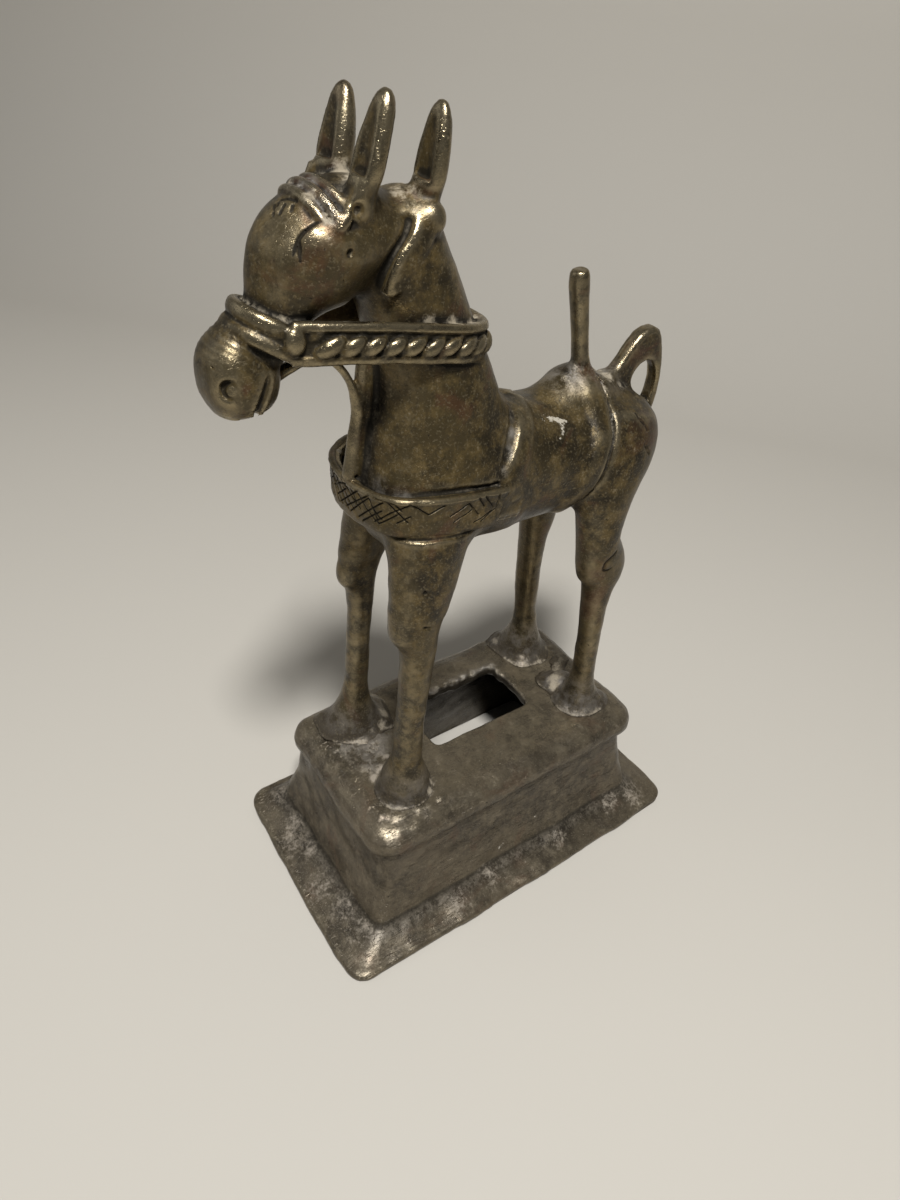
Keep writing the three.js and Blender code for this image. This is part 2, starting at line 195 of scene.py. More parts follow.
def fromOutline(p, q, outline):
    # distance in a plane to a closed outline, negative inside it
    corners = np.array(outline, float)
    away = np.full(p.shape, 1e3)
    inside = np.zeros(p.shape, bool)
    for (x0, y0), (x1, y1) in zip(corners, np.roll(corners, -1, 0)):
        t = np.clip(((p - x0) * (x1 - x0) + (q - y0) * (y1 - y0)) / ((x1 - x0) ** 2 + (y1 - y0) ** 2), 0, 1)
        away = np.minimum(away, np.hypot(p - x0 - t * (x1 - x0), q - y0 - t * (y1 - y0)))
        if y0 != y1:
            inside ^= ((y0 > q) != (y1 > q)) & (p < (x1 - x0) * (q - y0) / (y1 - y0) + x0)
    return np.where(inside, -away, away)


def plate(outline, axis, low, high, soft=1.0):
    # a flat piece with the given outline, from low to high along the axis, its edges rounded by soft mm
    others = [k for k in range(3) if k != axis]
    corners = np.array(outline, float)
    start, end = [low - 4] * 3, [high + 4] * 3
    for k, (a, b) in zip(others, zip(corners.min(0) - 4, corners.max(0) + 4)):
        start[k], end[k] = a, b
    area = window(start, end)
    axes = [gridAxes[k][area[k]] for k in range(3)]
    p, q = np.meshgrid(axes[others[0]], axes[others[1]], indexing="ij")
    flat = np.expand_dims(fromOutline(p, q, outline), axis) + soft
    through = np.abs(alongAxis(axes[axis], axis) - (low + high) / 2) - (high - low) / 2 + soft
    piece = np.minimum(np.maximum(flat, through), 0) + np.hypot(np.maximum(flat, 0), np.maximum(through, 0)) - soft
    return area, piece.astype(np.float32)


def lumps(seed, spacing):
    # smooth random swellings of about one unit, spacing mm apart, over the whole grid
    random = np.random.default_rng(seed)
    counts = [int(len(axis) * gridStep / spacing) + 3 for axis in gridAxes]
    values = random.normal(0, 1, counts).astype(np.float32)
    for k, axis in enumerate(gridAxes):
        place = np.arange(len(axis)) * gridStep / spacing
        whole = place.astype(int)
        part = (place - whole).astype(np.float32)
        part = alongAxis(part * part * (3 - 2 * part), k)
        values = np.take(values, whole, k) * (1 - part) + np.take(values, whole + 1, k) * part
    return values


def wave(points, seed, spacing):
    # smooth random swell of about one unit at points anywhere
    random = np.random.default_rng(seed)
    total = np.zeros(len(points))
    for k in range(14):
        way = unit(random.normal(0, 1, 3))
        total += np.sin(points @ way * 2 * math.pi / (spacing * random.uniform(0.7, 1.6)) + random.uniform(0, 6.28))
    return total / 2.6


def swells(points, waves, base=0.0):
    # swells laid over one another, each as height, seed and spacing
    return sum((height * wave(points, seed, spacing) for height, seed, spacing in waves), base)


def patchy(points):
    # from 0 to 1, here thick and there thin
    return np.clip(0.6 + 0.7 * wave(points, 31, 7), 0, 1)


def boxBlur(grid, reach):
    # mean over a cube that reaches so many mm to each side
    cells = max(1, round(reach / gridStep))
    for axis in range(3):
        total = np.cumsum(grid, axis=axis, dtype=np.float64)
        n = grid.shape[axis]
        high = np.minimum(np.arange(n) + cells, n - 1)
        low = np.arange(n) - cells - 1
        upper = np.take(total, high, axis)
        lower = np.take(total, np.maximum(low, 0), axis) * alongAxis(low >= 0, axis)
        grid = ((upper - lower) / alongAxis(high - np.maximum(low, -1), axis)).astype(np.float32)
    return grid


body = {
    "trunk": [[0, -36, 163, 13, 14], [0, -26, 165, 18, 18.5], [0, -16, 165, 19.2, 21.4], [0, -6, 163.4, 18.6, 21.2],
              [0, 5, 162, 18, 19.8], [0, 16, 161.6, 18, 19.2], [0, 27, 161.5, 18.6, 18.8], [0, 38, 161.5, 18.8, 18.2],
              [0, 47, 162, 18.2, 16.8], [0, 54, 162.5, 15, 13.4], [0, 58.5, 163, 8, 7.6], [0, 59.6, 163, 3, 3]],
    "neck": [[0, -32, 147, 9, 8], [0, -31.6, 150, 15.5, 13], [0, -30, 157, 19.4, 17.6], [0, -27.9, 167, 19.4, 19.3],
             [0, -25.6, 176, 17.8, 20.2], [0, -25.6, 185, 16.2, 19.2], [0, -26.6, 193, 14.8, 16.8],
             [0, -28.8, 201, 13.2, 14.6], [0, -31.6, 210, 12, 13.2], [0, -34.8, 219, 11.2, 12.2],
             [0, -38.2, 228, 10.2, 11.4], [0, -40.8, 234, 8.8, 9.8], [0, -42.5, 237, 5.5, 6.4]],
    # the keel down the front of the neck, and the groove on each side of it
    "keel": [[0, -45.6, 206, 1.6, 2.4], [0, -46.2, 200, 1.8, 2.4], [0, -46.6, 193, 1.9, 2.6], [0, -47.6, 185, 1.9, 2.8],
             [0, -48.8, 177, 2.0, 2.8], [0, -50.2, 170, 2.6, 2.4]],
    "keelGroove": [[2.6, -46.4, 201], [2.8, -46.2, 195], [3.0, -46.8, 189], [3.3, -47.6, 182], [4.4, -48.0, 176],
                   [7, -47.8, 171.8]],
    # a thin bar runs on from the keel under the jaw to the chin
    "throatBar": [[0, -47.4, 187, 1.5, 1.2], [0, -48.9, 192, 1.5, 1.2], [0, -49.8, 196, 1.4, 1.1],
                  [0, -51.6, 199.6, 1.3, 1.1], [0, -53.8, 202.4, 1.3, 1.1], [0, -56.4, 204.4, 1.4, 1.1],
                  [0, -59.4, 205.1, 1.5, 1.2], [0, -63, 204.9, 1.7, 1.3], [0, -67, 204.0, 2.0, 1.6],
                  [0, -70.8, 202.8, 2.6, 1.8]],
    "tail": [(38, 172), (40.6, 182.4), (43.4, 184.0), (45.2, 186.4), (47.4, 189.2), (49.5, 191.5), (51.8, 193.5),
             (54.6, 194.9), (57.4, 195.3), (60.0, 194.2), (61.9, 191.6), (63.2, 188.2), (64.8, 182.4), (65.5, 177.2),
             (65.6, 172.4), (65.0, 168.2), (63.6, 164.6), (60.4, 161.5), (56, 160), (48, 164)],
    "tailLoop": [(50.4, 176), (51.2, 179.0), (52.5, 181.4), (54.3, 183.4), (56.8, 184.4), (59.6, 183.6), (61.4, 181.2),
                 (62.5, 177.2), (62.7, 173.0), (62.0, 169.6), (58, 171.0), (53.4, 174.2)],
    "tailHalf": 2.5,
    "rump": [(0, 28, 178.4), (9.5, 13.5, 7.4)],  # the mound that the rod stands on
    "grooveHalf": [0.4, 0.7, 0.8, 0.9, 0.9, 0.5],
    "rod": [[0, 30, 176, 6, 7], [0, 29.6, 183.4, 4.2, 4.4], [0, 28.8, 188, 3.1, 3.1], [0, 27.4, 194, 2.8, 2.8],
            [0, 25.5, 202, 2.8, 2.8], [0, 23.4, 211, 3, 3], [0, 22.8, 214.4, 2.8, 2.8], [0, 22.6, 215.6, 2.2, 2.2]],
}
legs = {
    "nearFore": [[10, -31, 170, 7, 9], [13, -32.6, 159, 8.4, 12.2], [15, -34.6, 148, 8.1, 11.3],
                 [16.4, -36.6, 138, 7.4, 9.8], [17.2, -38, 130, 6.8, 8.6], [17.6, -38.4, 124, 6.3, 7.4],
                 [17.8, -37.8, 119, 5.8, 6.1], [17.9, -37.9, 114, 5.4, 5.5], [18, -38.2, 106, 5.1, 5],
                 [18, -38.8, 94, 4.9, 4.8], [18, -39.6, 80, 4.9, 4.9], [18, -39.9, 68, 5, 5.1], [18, -40, 60, 5.6, 5.8],
                 [18, -40, 49, 6.2, 6.4]],
    "farFore": [[-10, -31, 170, 7, 9], [-13, -32.6, 159, 6.8, 10], [-15, -34.2, 148, 6.5, 9],
                [-16.4, -35.8, 138, 5.9, 7.8], [-17.2, -37.2, 130, 5.4, 7], [-17.6, -37.8, 124, 5.1, 6.3],
                [-17.8, -37.4, 118, 4.8, 5.3], [-17.9, -37.2, 112, 4.5, 4.7], [-18, -37.4, 104, 4.3, 4.3],
                [-18, -38.4, 80, 4.2, 4.2], [-18, -39, 66, 4.5, 4.5], [-18, -39.2, 58, 5.4, 5.6],
                [-18, -39.4, 49, 6, 6.4]],
    "nearHind": [[8, 43, 171, 8.6, 10.6], [11.6, 39.6, 160, 9.5, 12.6], [14.2, 36, 149, 8.6, 11],
                 [16, 34.3, 139, 7.5, 8.5], [16.8, 34.1, 132, 6.8, 7.8], [17.2, 35.6, 126.5, 6.3, 8.9],
                 [17.4, 37.6, 121.5, 6, 9.6], [17.6, 38.5, 117.5, 5.7, 8.6], [17.8, 38.2, 112.5, 5.3, 5.9],
                 [18, 38, 105, 4.9, 4.6], [18, 38.9, 95, 4.6, 4.2], [18, 39.9, 84, 4.3, 3.9], [18, 40.7, 70, 4.1, 3.9],
                 [18, 40.9, 60, 4.5, 4.5], [18, 41, 49, 5.2, 5.4]],
    "farHind": [[-8, 43, 171, 8.6, 10.6], [-11.6, 40, 160, 9.6, 12.4], [-14.2, 37.4, 149, 9, 11.4],
                [-16.2, 36.6, 137, 7.4, 8.2], [-17.2, 37.4, 129, 6.4, 6.9], [-17.6, 38.6, 122, 6, 7.2],
                [-17.8, 38.1, 114.5, 5.5, 5.6], [-18, 38.3, 102, 5.1, 4.8], [-18, 39.6, 84, 4.7, 4.6],
                [-18, 40.8, 68, 4.5, 4.5], [-18, 41, 60, 4.8, 4.9], [-18, 41, 49, 5.4, 5.8]],
    "knees": [[(17.2, -44.0, 126), (4.4, 3.2, 5)], [(-17.2, -42.6, 124), (3.8, 2.8, 5)],
              [(17.4, 31.4, 124), (4.2, 2.6, 6)]],
}
face = {
    "skull": [[0, -43, 235.8, 4, 4.6], [0, -45.5, 235.2, 8.4, 8.6], [0, -50.5, 233.2, 11, 11.4],
              [0, -56.5, 230.6, 12, 12.8], [0, -62.2, 227, 11.9, 12.5], [0, -65.8, 222.9, 10, 10.3],
              [0, -68, 219.2, 8.4, 8], [0, -70, 215.6, 7.6, 6.8], [0, -73.4, 211.6, 7.4, 7], [0, -76.4, 208.4, 6, 6]],
    "muzzle": [[0, -75.6, 213.2, 5.4, 4.8], [0, -77.6, 211, 7.5, 7.1], [0, -78.9, 207.8, 8.9, 8.6],
               [0, -79.2, 204, 9.1, 8.6], [0, -79.1, 200.4, 8.5, 7.8], [0, -78.9, 197.4, 6.8, 6.2],
               [0, -78.8, 196.4, 4, 4]],
    "lip": [[0, -72.8, 209, 3, 1.6], [0, -72.6, 205.6, 6.2, 2.8], [0, -73.4, 201.4, 6.8, 3], [0, -74.8, 198, 5.2, 2.6],
            [0, -76, 196.4, 2, 1.4]],
    "cheek": [(8.6, -57, 232), (4.4, 8.4, 4.6)],
    # three cords over the brow, each from the middle of the forehead down to the point on the cheek
    "cords": [[(0, -63.2, 241.6), (2.9, -63.2, 241.4), (6.6, -62.6, 240.4), (9.4, -61.6, 238.2), (11.8, -59.8, 236.4)],
              [(0, -60.6, 242.9), (3.4, -60.5, 242.6), (7.8, -59.9, 241.3), (10.8, -58.9, 239.1), (12.2, -58.2, 236.9)],
              [(0, -57.8, 243.6), (2.6, -57.8, 243.4), (6.8, -57.3, 242.4), (9.6, -56.4, 240.2), (12, -57, 237.4)]],
    "cheekStrap": [(11.4, -58.4, 236.8), (11.6, -57.2, 238.3), (10.8, -55, 239.9), (11, -53.8, 241.8),
                   (10.8, -53, 243.4)],
    "browMiddle": (0, -57.5, 231),
    "mouth": [[9.6, -73.2, 211.2], [9, -75, 206.4], [8.6, -76.6, 202.2], [7.4, -77.6, 199], [4, -78, 196.6],
              [0, -78, 195.8]],
    "mouthHalf": [0.5, 0.8, 0.8, 0.8, 0.7, 0.5],
    "cordHalf": [1.3, 1.3, 1.25, 1.05, 0.6],
    "nostril": (8.0, -84.2, 204.8), "nostrilRing": 1.75, "nostrilCut": 0.55,
    "nostrilOut": (0.62, -0.76, 0.1),
}


def onSide(points, side):
    # points given for the horse's left, or the same on its right
    return [[side * x, y, z] for x, y, z in points]


say("raising the body, legs and head")
add(limb(body["trunk"], power=2.2))
add(limb(body["neck"], power=2.3), blend=7)
for name in ("nearFore", "farFore", "nearHind", "farHind"):
    add(limb(legs[name]), blend=5)
for centre, halves in legs["knees"]:
    add(ball(centre, halves), blend=2.5)
add(limb(face["skull"]), blend=4)
for _ in range(2):
    metal = boxBlur(metal, 1.1)
add(limb(face["muzzle"], power=2.6), blend=1.6)
add(limb(face["lip"]), blend=0.6)
add(ball(*body["rump"]), blend=5)
add(limb(body["rod"]), blend=2.5)
add(plate(body["tail"], 0, -body["tailHalf"], body["tailHalf"], soft=1.6), blend=3.5)
carve(plate(body["tailLoop"], 0, -6, 6, soft=0.6), blend=1.6)
add(limb(body["keel"], power=2.3), blend=1.8)
add(limb(body["throatBar"]), blend=1.0)
for side in (1, -1):
    carve(wire(onSide(body["keelGroove"], side), body["grooveHalf"]), blend=1.3)
    x, y, z = face["cheek"][0]
    add(ball((side * x, y, z), face["cheek"][1], tilt=-0.3), blend=2.4)
    for cord in face["cords"]:
        # low rounded ribs, half sunk in the brow
        line = np.array(cord) * [side, 1, 1]
        add(wire(line - 0.7 * unit(line - face["browMiddle"]), face["cordHalf"]), blend=0.4)
    add(wire(onSide(face["cheekStrap"], side), 0.95), blend=1.6)
    carve(wire(onSide(face["mouth"], side), face["mouthHalf"]))
    # each nostril is a shallow ring pressed round a low dot
    x, y, z = face["nostril"]
    out = unit(np.array(face["nostrilOut"]))
    sideways = unit(np.cross(out, [0, 0, 1]))
    upward = np.cross(sideways, out)
    ring = [np.array([x, y, z]) + face["nostrilRing"] * (sideways * math.cos(a) + upward * math.sin(a))
            for a in np.linspace(0, 2 * math.pi, 13)]
    carve(wire(onSide(ring, side), face["nostrilCut"]), blend=0.5)
    carve(ball((side * (x + 0.2), y - 0.2, z), (0.6, 0.6, 0.6), reach=2), blend=0.3)

ears = {
    "profile": [[-0.15, 0.62, 1.1], [0.05, 0.74, 1.0], [0.3, 1, 0.96], [0.55, 0.97, 0.86], [0.8, 0.76, 0.72],
                [0.92, 0.56, 0.56], [0.98, 0.36, 0.36], [1, 0.2, 0.2]],
    "blades": [  # foot, tip, half width, half depth, how wide and how deep the hollow is
        [(8.4, -52.2, 241), (9.6, -46.8, 260.3), 4.6, 3.3, 0.85, 1.22],
        [(-8.6, -49.8, 241), (-9.6, -45.4, 259.1), 4.8, 3.7, 0.85, 1.22],
        [(4, -33, 238), (5.6, -30.6, 257.5), 4.6, 3.2, 0.86, 1.15],
    ],
    "bosses": [  # middle, halves and fillet of each boss, then of the pit in it
        [(7.6, -33.6, 235.4), (3.4, 3.6, 3.9), 1.2, (10.9, -36.8, 234.6), (1.1, 1.2, 1.2), 0.9],
        [(9.2, -52.8, 239.8), (2.6, 2.7, 3.0), 1.4, (12.1, -54.7, 239.7), (1.2, 1.2, 1.2), 1.0],
    ],
}
harness = {
    # place down the nose, radius, half width, half height
    "noseRings": [(-2.3, 8.7, 2.05, 1.7), (1.5, 9.0, 1.75, 1.5)],
    "noseMiddle": (-71.2, 213.4),
    "noseTilt": 0.48,
    "noseButton": [(10.4, -69.5, 214.4), (1.7, 2.5, 3.1)],
    "noseFold": [(12.0, -71.6, 216.6), (12.0, -71.6, 214.2), (11.6, -71.2, 212.4)],
    "rein": [[8.8, -69, 213.4], [11.8, -58, 212.8], [13.5, -46, 211.4], [14.1, -34, 209.4], [12.8, -24, 207.4],
             [8.2, -17, 205.8], [0, -14.6, 205.2]],
    "reinHalf": (1.7, 4.6),
    "reinRim": 0.25, "reinSunk": 1.25,  # how far the rims stand out, and the channel's depth below them
    "ropeTurn": 5.1,  # mm from strand to strand
    # the rope's start and end, and where its lay turns over, in mm along the rein
    "ropeSpan": (5, 140), "ropeBack": 73,
    # one strand, as mm along, up and out, and its half thickness
    "strand": [(-3.6, -1.9, -0.7, 0.5), (-2.3, -1.35, 0.1, 1.15), (-0.4, -0.25, 0.5, 1.62), (1.5, 0.9, 0.35, 1.45),
               (2.9, 1.55, -0.1, 0.9), (3.7, 1.9, -0.6, 0.5)],
    "breastBand": [[18.4, -5, 160.2], [20, -16, 162.2], [20.6, -28, 164], [18.6, -40, 165.2], [12.2, -47.8, 165.2],
                   [0, -50.4, 164.8]],
    "bandHalf": (1.25, 5.5),  # its core; the engraved face lies over it
    "bandEnd": (50.0, 0.42),  # mm from the front to the cut end at mid height, and how far the end slants
    "shoulderStrap": [[2, 1.2, 183.0], [4.9, -0.6, 182.2], [10.5, -3.2, 180.6], [14.2, -6.1, 177.8],
                      [16.6, -9.3, 174.2], [17.9, -11.6, 170.8], [18.6, -12.4, 167.0], [19.0, -11.6, 162.4]],
    "strapWide": [1.6, 2.2, 3.0, 3.8, 4.0, 4.0, 4.0, 3.6], "strapDeep": [0.6, 0.8, 1.2, 1.6, 1.8, 1.8, 1.7, 1.4],
    "strapCrest": [0.5, 1.0, 1.4, 1.6, 1.5, 1.1, 0.5],
    "hindEdge": [[0, 30.5, 186.5], [4.2, 29.6, 184.7], [8, 29.4, 182.0], [11, 29.6, 177.9], [14.0, 29.4, 174.0],
                 [16.9, 28.2, 170.6], [18.4, 26.6, 166.6], [18.8, 25.2, 161.8], [17.9, 23.4, 156.6],
                 [15.8, 20.6, 151.6], [12.6, 18.4, 147.6]],
    "hindCrease": [0.3, 0.45, 0.6, 0.65, 0.65, 0.65, 0.6, 0.6, 0.5, 0.4],
    "ribbon": [[4.6, -33.4, 238.6], [6.8, -35.0, 237.2], [8.6, -36.2, 235.2], [9.7, -37.4, 232.8], [9.9, -39.6, 230],
               [9.8, -42, 226.9], [9.5, -44, 223.5], [9.8, -45.6, 220.8]],
    "ribbonHalf": [1.8, 2.1, 2.4, 2.7, 2.9, 2.9, 2.4, 1.3], "ribbonHollow": [0.2, 0.4, 0.6, 0.7, 0.6, 0.3],
}


def bothSides(left):
    # a line over the horse's left side, continued over its right
    return left + [[-x, y, z] for x, y, z in left[-2::-1]]


def alongLine(points, spacing):
    # points every spacing mm along a smooth line, each with its direction and the way out from the horse
    line = spline(points, 16)
    gaps = np.linalg.norm(np.diff(line, axis=0), axis=1)
    run = np.concatenate([[0], np.cumsum(gaps)])
    for s in np.arange(spacing / 2, run[-1], spacing):
        back, here, ahead = [np.array([np.interp(s + step, run, line[:, k]) for k in range(3)])
                             for step in (-0.4, 0, 0.4)]
        way = unit(ahead - back)
        yield s, here, way, unit(np.array([way[1], -way[0], 0.0]))


say("fitting the ears and the harness")
for foot, tip, halfWidth, halfDepth, hollowWide, hollowDeep in ears["blades"]:
    foot, tip = np.array(foot, float), np.array(tip, float)
    leaf = [[*(foot + (tip - foot) * t), w * halfWidth, d * halfDepth] for t, w, d in ears["profile"]]
    hollow = [[x, y - halfDepth * hollowDeep, z, w * hollowWide, d * hollowWide] for x, y, z, w, d in leaf[2:]]
    add(limb(leaf), blend=2.2)
    carve(limb(hollow), blend=0.9)
for middle, halves, fillet, pit, pitHalves, pitFillet in ears["bosses"]:
    add(ball(middle, halves), blend=fillet)
    carve(ball(pit, pitHalves, reach=2), blend=pitFillet)
for side in (1, -1):
    # a flat ribbon from the plume down each side of the neck, hollowed out in front of it
    ribbon = onSide(harness["ribbon"], side)
    carve(wire([[x * 0.98, y - 3.7, z] for x, y, z in ribbon[2:]], harness["ribbonHollow"]), blend=2.4)
    add(limb([[x * (0.98 - 0.06 * (i == 7)), y + 0.3, z, w, 1.35] for i, ((x, y, z), w) in
              enumerate(zip(ribbon, harness["ribbonHalf"]))], power=3, across=(0, 1, 0)), blend=1.5)

tilt = harness["noseTilt"]
for place, radius, halfWide, halfHigh in harness["noseRings"]:
    noseY, noseZ = harness["noseMiddle"]
    downNose = np.array([0, -math.sin(tilt), -math.cos(tilt)])
    middle = np.array([0, noseY, noseZ]) + place * downNose
    ring = [[*(middle + radius * np.array([math.sin(a), math.cos(a) * math.cos(tilt), -math.cos(a) * math.sin(tilt)])),
             halfWide, halfHigh]
            for a in np.linspace(0, 2 * math.pi, 22)]
    add(limb(ring, power=2.4, across=downNose, reach=2.0), blend=1.3)
for side in (1, -1):
    # the noseband's end, a flattened button with a fold beside it
    middle, halves = harness["noseButton"]
    add(ball(*onSide([middle], side), halves), blend=0.8)
    carve(wire(onSide(harness["noseFold"], side), 0.4), blend=0.3)

reinLine = bothSides(harness["rein"])
up = np.array([0, 0, 1.0])


def reinRelief(s, out, up):
    # a flat rim above and below, and a channel sunk between them for the rope
    sunk = np.clip((3.1 - np.abs(up - 0.1)) / 0.7, 0, 1)
    return np.where(out > 0, harness["reinRim"] - harness["reinSunk"] * sunk * sunk * (3 - 2 * sunk), 0)


add(limb([[*p, *harness["reinHalf"]] for p in reinLine], power=5, across=None, steps=5, relief=reinRelief), blend=0.7)
random = np.random.default_rng(5)
for s, here, way, out in alongLine(reinLine, harness["ropeTurn"]):
    if harness["ropeSpan"][0] < s < harness["ropeSpan"][1]:
        rise = 1 if s < harness["ropeBack"] else -1
        heart = here + out * (harness["reinHalf"][0] - 0.4) + way * random.uniform(-0.35, 0.35)
        size = random.uniform(0.92, 1.08)
        strand = [[*(heart + way * a * size + up * (b * rise - 0.5) + out * c), w * 0.74, w * 1.12]
                  for a, b, c, w in harness["strand"]]
        add(limb(strand, across=out, steps=2, reach=2.0), blend=0.2)

bandLine = bothSides(harness["breastBand"])[::-1]


def bandRelief(s, out, up):
    # the rear ends are cut off on a slant
    endAt, slant = harness["bandEnd"]
    over = np.abs(s - bandLength / 2) - endAt - slant * up
    return np.where(out > 0, -1.2 * np.clip(over / 0.8, 0, 1), 0)


bandLength = float(np.linalg.norm(np.diff(spline(bandLine, 5), axis=0), axis=1).sum())
stations = list(alongLine(bandLine, 0.5))
# what would bulge through the band's face is trimmed away first
carve(limb([[*(here + out * 4.3), 3.0, 5.9] for s, here, way, out in stations if abs(s - bandLength / 2) < 50][::6],
           power=6, across=None, steps=1), blend=0.8)
add(limb([[*p, *harness["bandHalf"]] for p in bandLine], power=4, across=None, steps=5, relief=bandRelief), blend=1.2)
# the gap behind the band's upper rim
gap = [here - out * 0.5 + up * 6.6 for s, here, way, out in stations if abs(s - bandLength / 2) < 51][::6]
carve(wire(gap, 0.5, steps=1), blend=1.0)
runs = np.array([s for s, *_ in stations]) - bandLength / 2
heres = np.array([here for s, here, *_ in stations])
outs = np.array([out for *_, out in stations])


def onBand(at, rows):
    # the rows' values so many mm round the band from its front
    return np.stack([np.interp(at, runs, rows[:, k]) for k in range(3)], -1)


for side in (1, -1):
    # a slanting cut ends the band on each side
    endCut = []
    for h in (6.0, 3.0, 0.0, -3.0, -5.4):
        at = side * (harness["bandEnd"][0] + 0.3 + harness["bandEnd"][1] * h)
        endCut.append(onBand(at, heres) + onBand(at, outs) * 1.3 + up * h)
    carve(wire(settled(endCut), 0.6, steps=1), blend=0.4)
# a thin crease runs under the band
under = [here + out * 1.6 - up * 6.5 for s, here, way, out in stations if abs(s - bandLength / 2) < 48][::5]
carve(wire(settled(under), 0.65, steps=1), blend=0.5)

for side in (1, -1):
    # the shoulder strap: a rounded crest with a shallow crescent hollow in front and a soft fall behind
    crest = onSide(harness["shoulderStrap"], side)
    strap = zip(crest, harness["strapWide"], harness["strapDeep"])
    add(limb([[x * 0.97, y + 2.2, z, w, d] for (x, y, z), w, d in strap], across=(0, 1, 0)), blend=2.8)
    add(wire([[x * 0.99, y + 0.3, z + 0.1] for x, y, z in crest[1:]], harness["strapCrest"]), blend=1.1)
    front = settled(spline([[x, y - 2.3, z] for x, y, z in crest[1:6]], 3))
    lift = unit((front - [0, 0, 163]) * [1, 0, 1])
    carve(wire(front + 1.5 * lift, 1.5 + 0.95 * np.sin(np.linspace(0, math.pi, len(front))), steps=1), blend=0.5)

    # the body's rear edge, a rounded rim with a crease behind it
    edge = onSide(harness["hindEdge"], side)
    add(limb([[x * 0.98, y - 1.2, z, 3.6, 1.6] for x, y, z in edge], across=(0, 1, 0)), blend=2.4)
    carve(wire([[x, y + 2.6, z] for x, y, z in edge[1:]], harness["hindCrease"]), blend=1.6)

marks = {
    "eyeFold": [[9.2, -61.0, 237.4], [8.9, -63.9, 236.2], [8.7, -66.0, 234.9], [8.8, -67.3, 233.4],
                [8.8, -68.3, 231.0]],
    "eyeSlash": [[8.9, -66.5, 234.6], [9.4, -66.9, 232.6], [9.7, -67.0, 230.6]],
    "crownStrokes": [[[0.8, -66.9, 238.6], [0.2, -66.0, 239.3], [1.6, -64.9, 239.9], [3.6, -63.9, 239.9]],
                     [[-0.1, -67.1, 238.4], [0.9, -68.0, 237.9], [1.7, -68.6, 237.4]],
                     [[2.2, -66.0, 239.1], [3.0, -67.6, 237.6]], [[3.8, -65.0, 239.1], [4.4, -65.7, 238.3]]],
    "hockCurl": [[23.7, 37.1, 130.0], [23.5, 35.4, 128.8], [23.0, 33.5, 127.1], [22.6, 33.0, 124.9],
                 [22.4, 33.2, 123.6], [22.8, 34.4, 123.1], [23.1, 36.0, 123.6]],
    "flankLines": [[[14.1, 40.9, 174.4], [15.8, 41.6, 173.6], [16.8, 43.2, 172.0], [17.4, 44.4, 169.8]],
                   [[18.9, 43.0, 166.2], [19.2, 44.4, 164.1], [19.2, 45.8, 162.3]]],
    "foreDots": [[[23.3, -39.9, 130.2], [23.6, -38.4, 129.6]], [[22.9, -40.2, 142.6], [22.9, -39.6, 142.2]]],
    "cheekPit": [12.3, -57.2, 232.3],
}

say("cutting the engraved lines")
cutLines = []
for side in (1, -1):
    for points in [marks["eyeFold"], marks["eyeSlash"], marks["hockCurl"], *marks["flankLines"]]:
        # each cut runs along the metal's own surface
        path = spline([[side * p[0], *p[1:]] for p in points], 4)
        cutLines.append((settled(path), np.interp(np.linspace(0, 1, len(path)), [0, 0.5, 1], [0.35, 0.6, 0.3])))
cutLines += [(settled(spline(stroke, 4)), np.full(4 * len(stroke) - 3, 0.42)) for stroke in marks["crownStrokes"]]
cutLines += [(settled(spline(stroke, 3)), np.full(3 * len(stroke) - 2, 0.55)) for stroke in marks["foreDots"]]
cutLines.append((settled(np.array([marks["cheekPit"], np.array(marks["cheekPit"]) + [0, -0.3, -0.6]])),
                 np.full(2, 0.8)))
for path, thick in cutLines:
    carve(wire(path, thick, steps=1), blend=0.2)

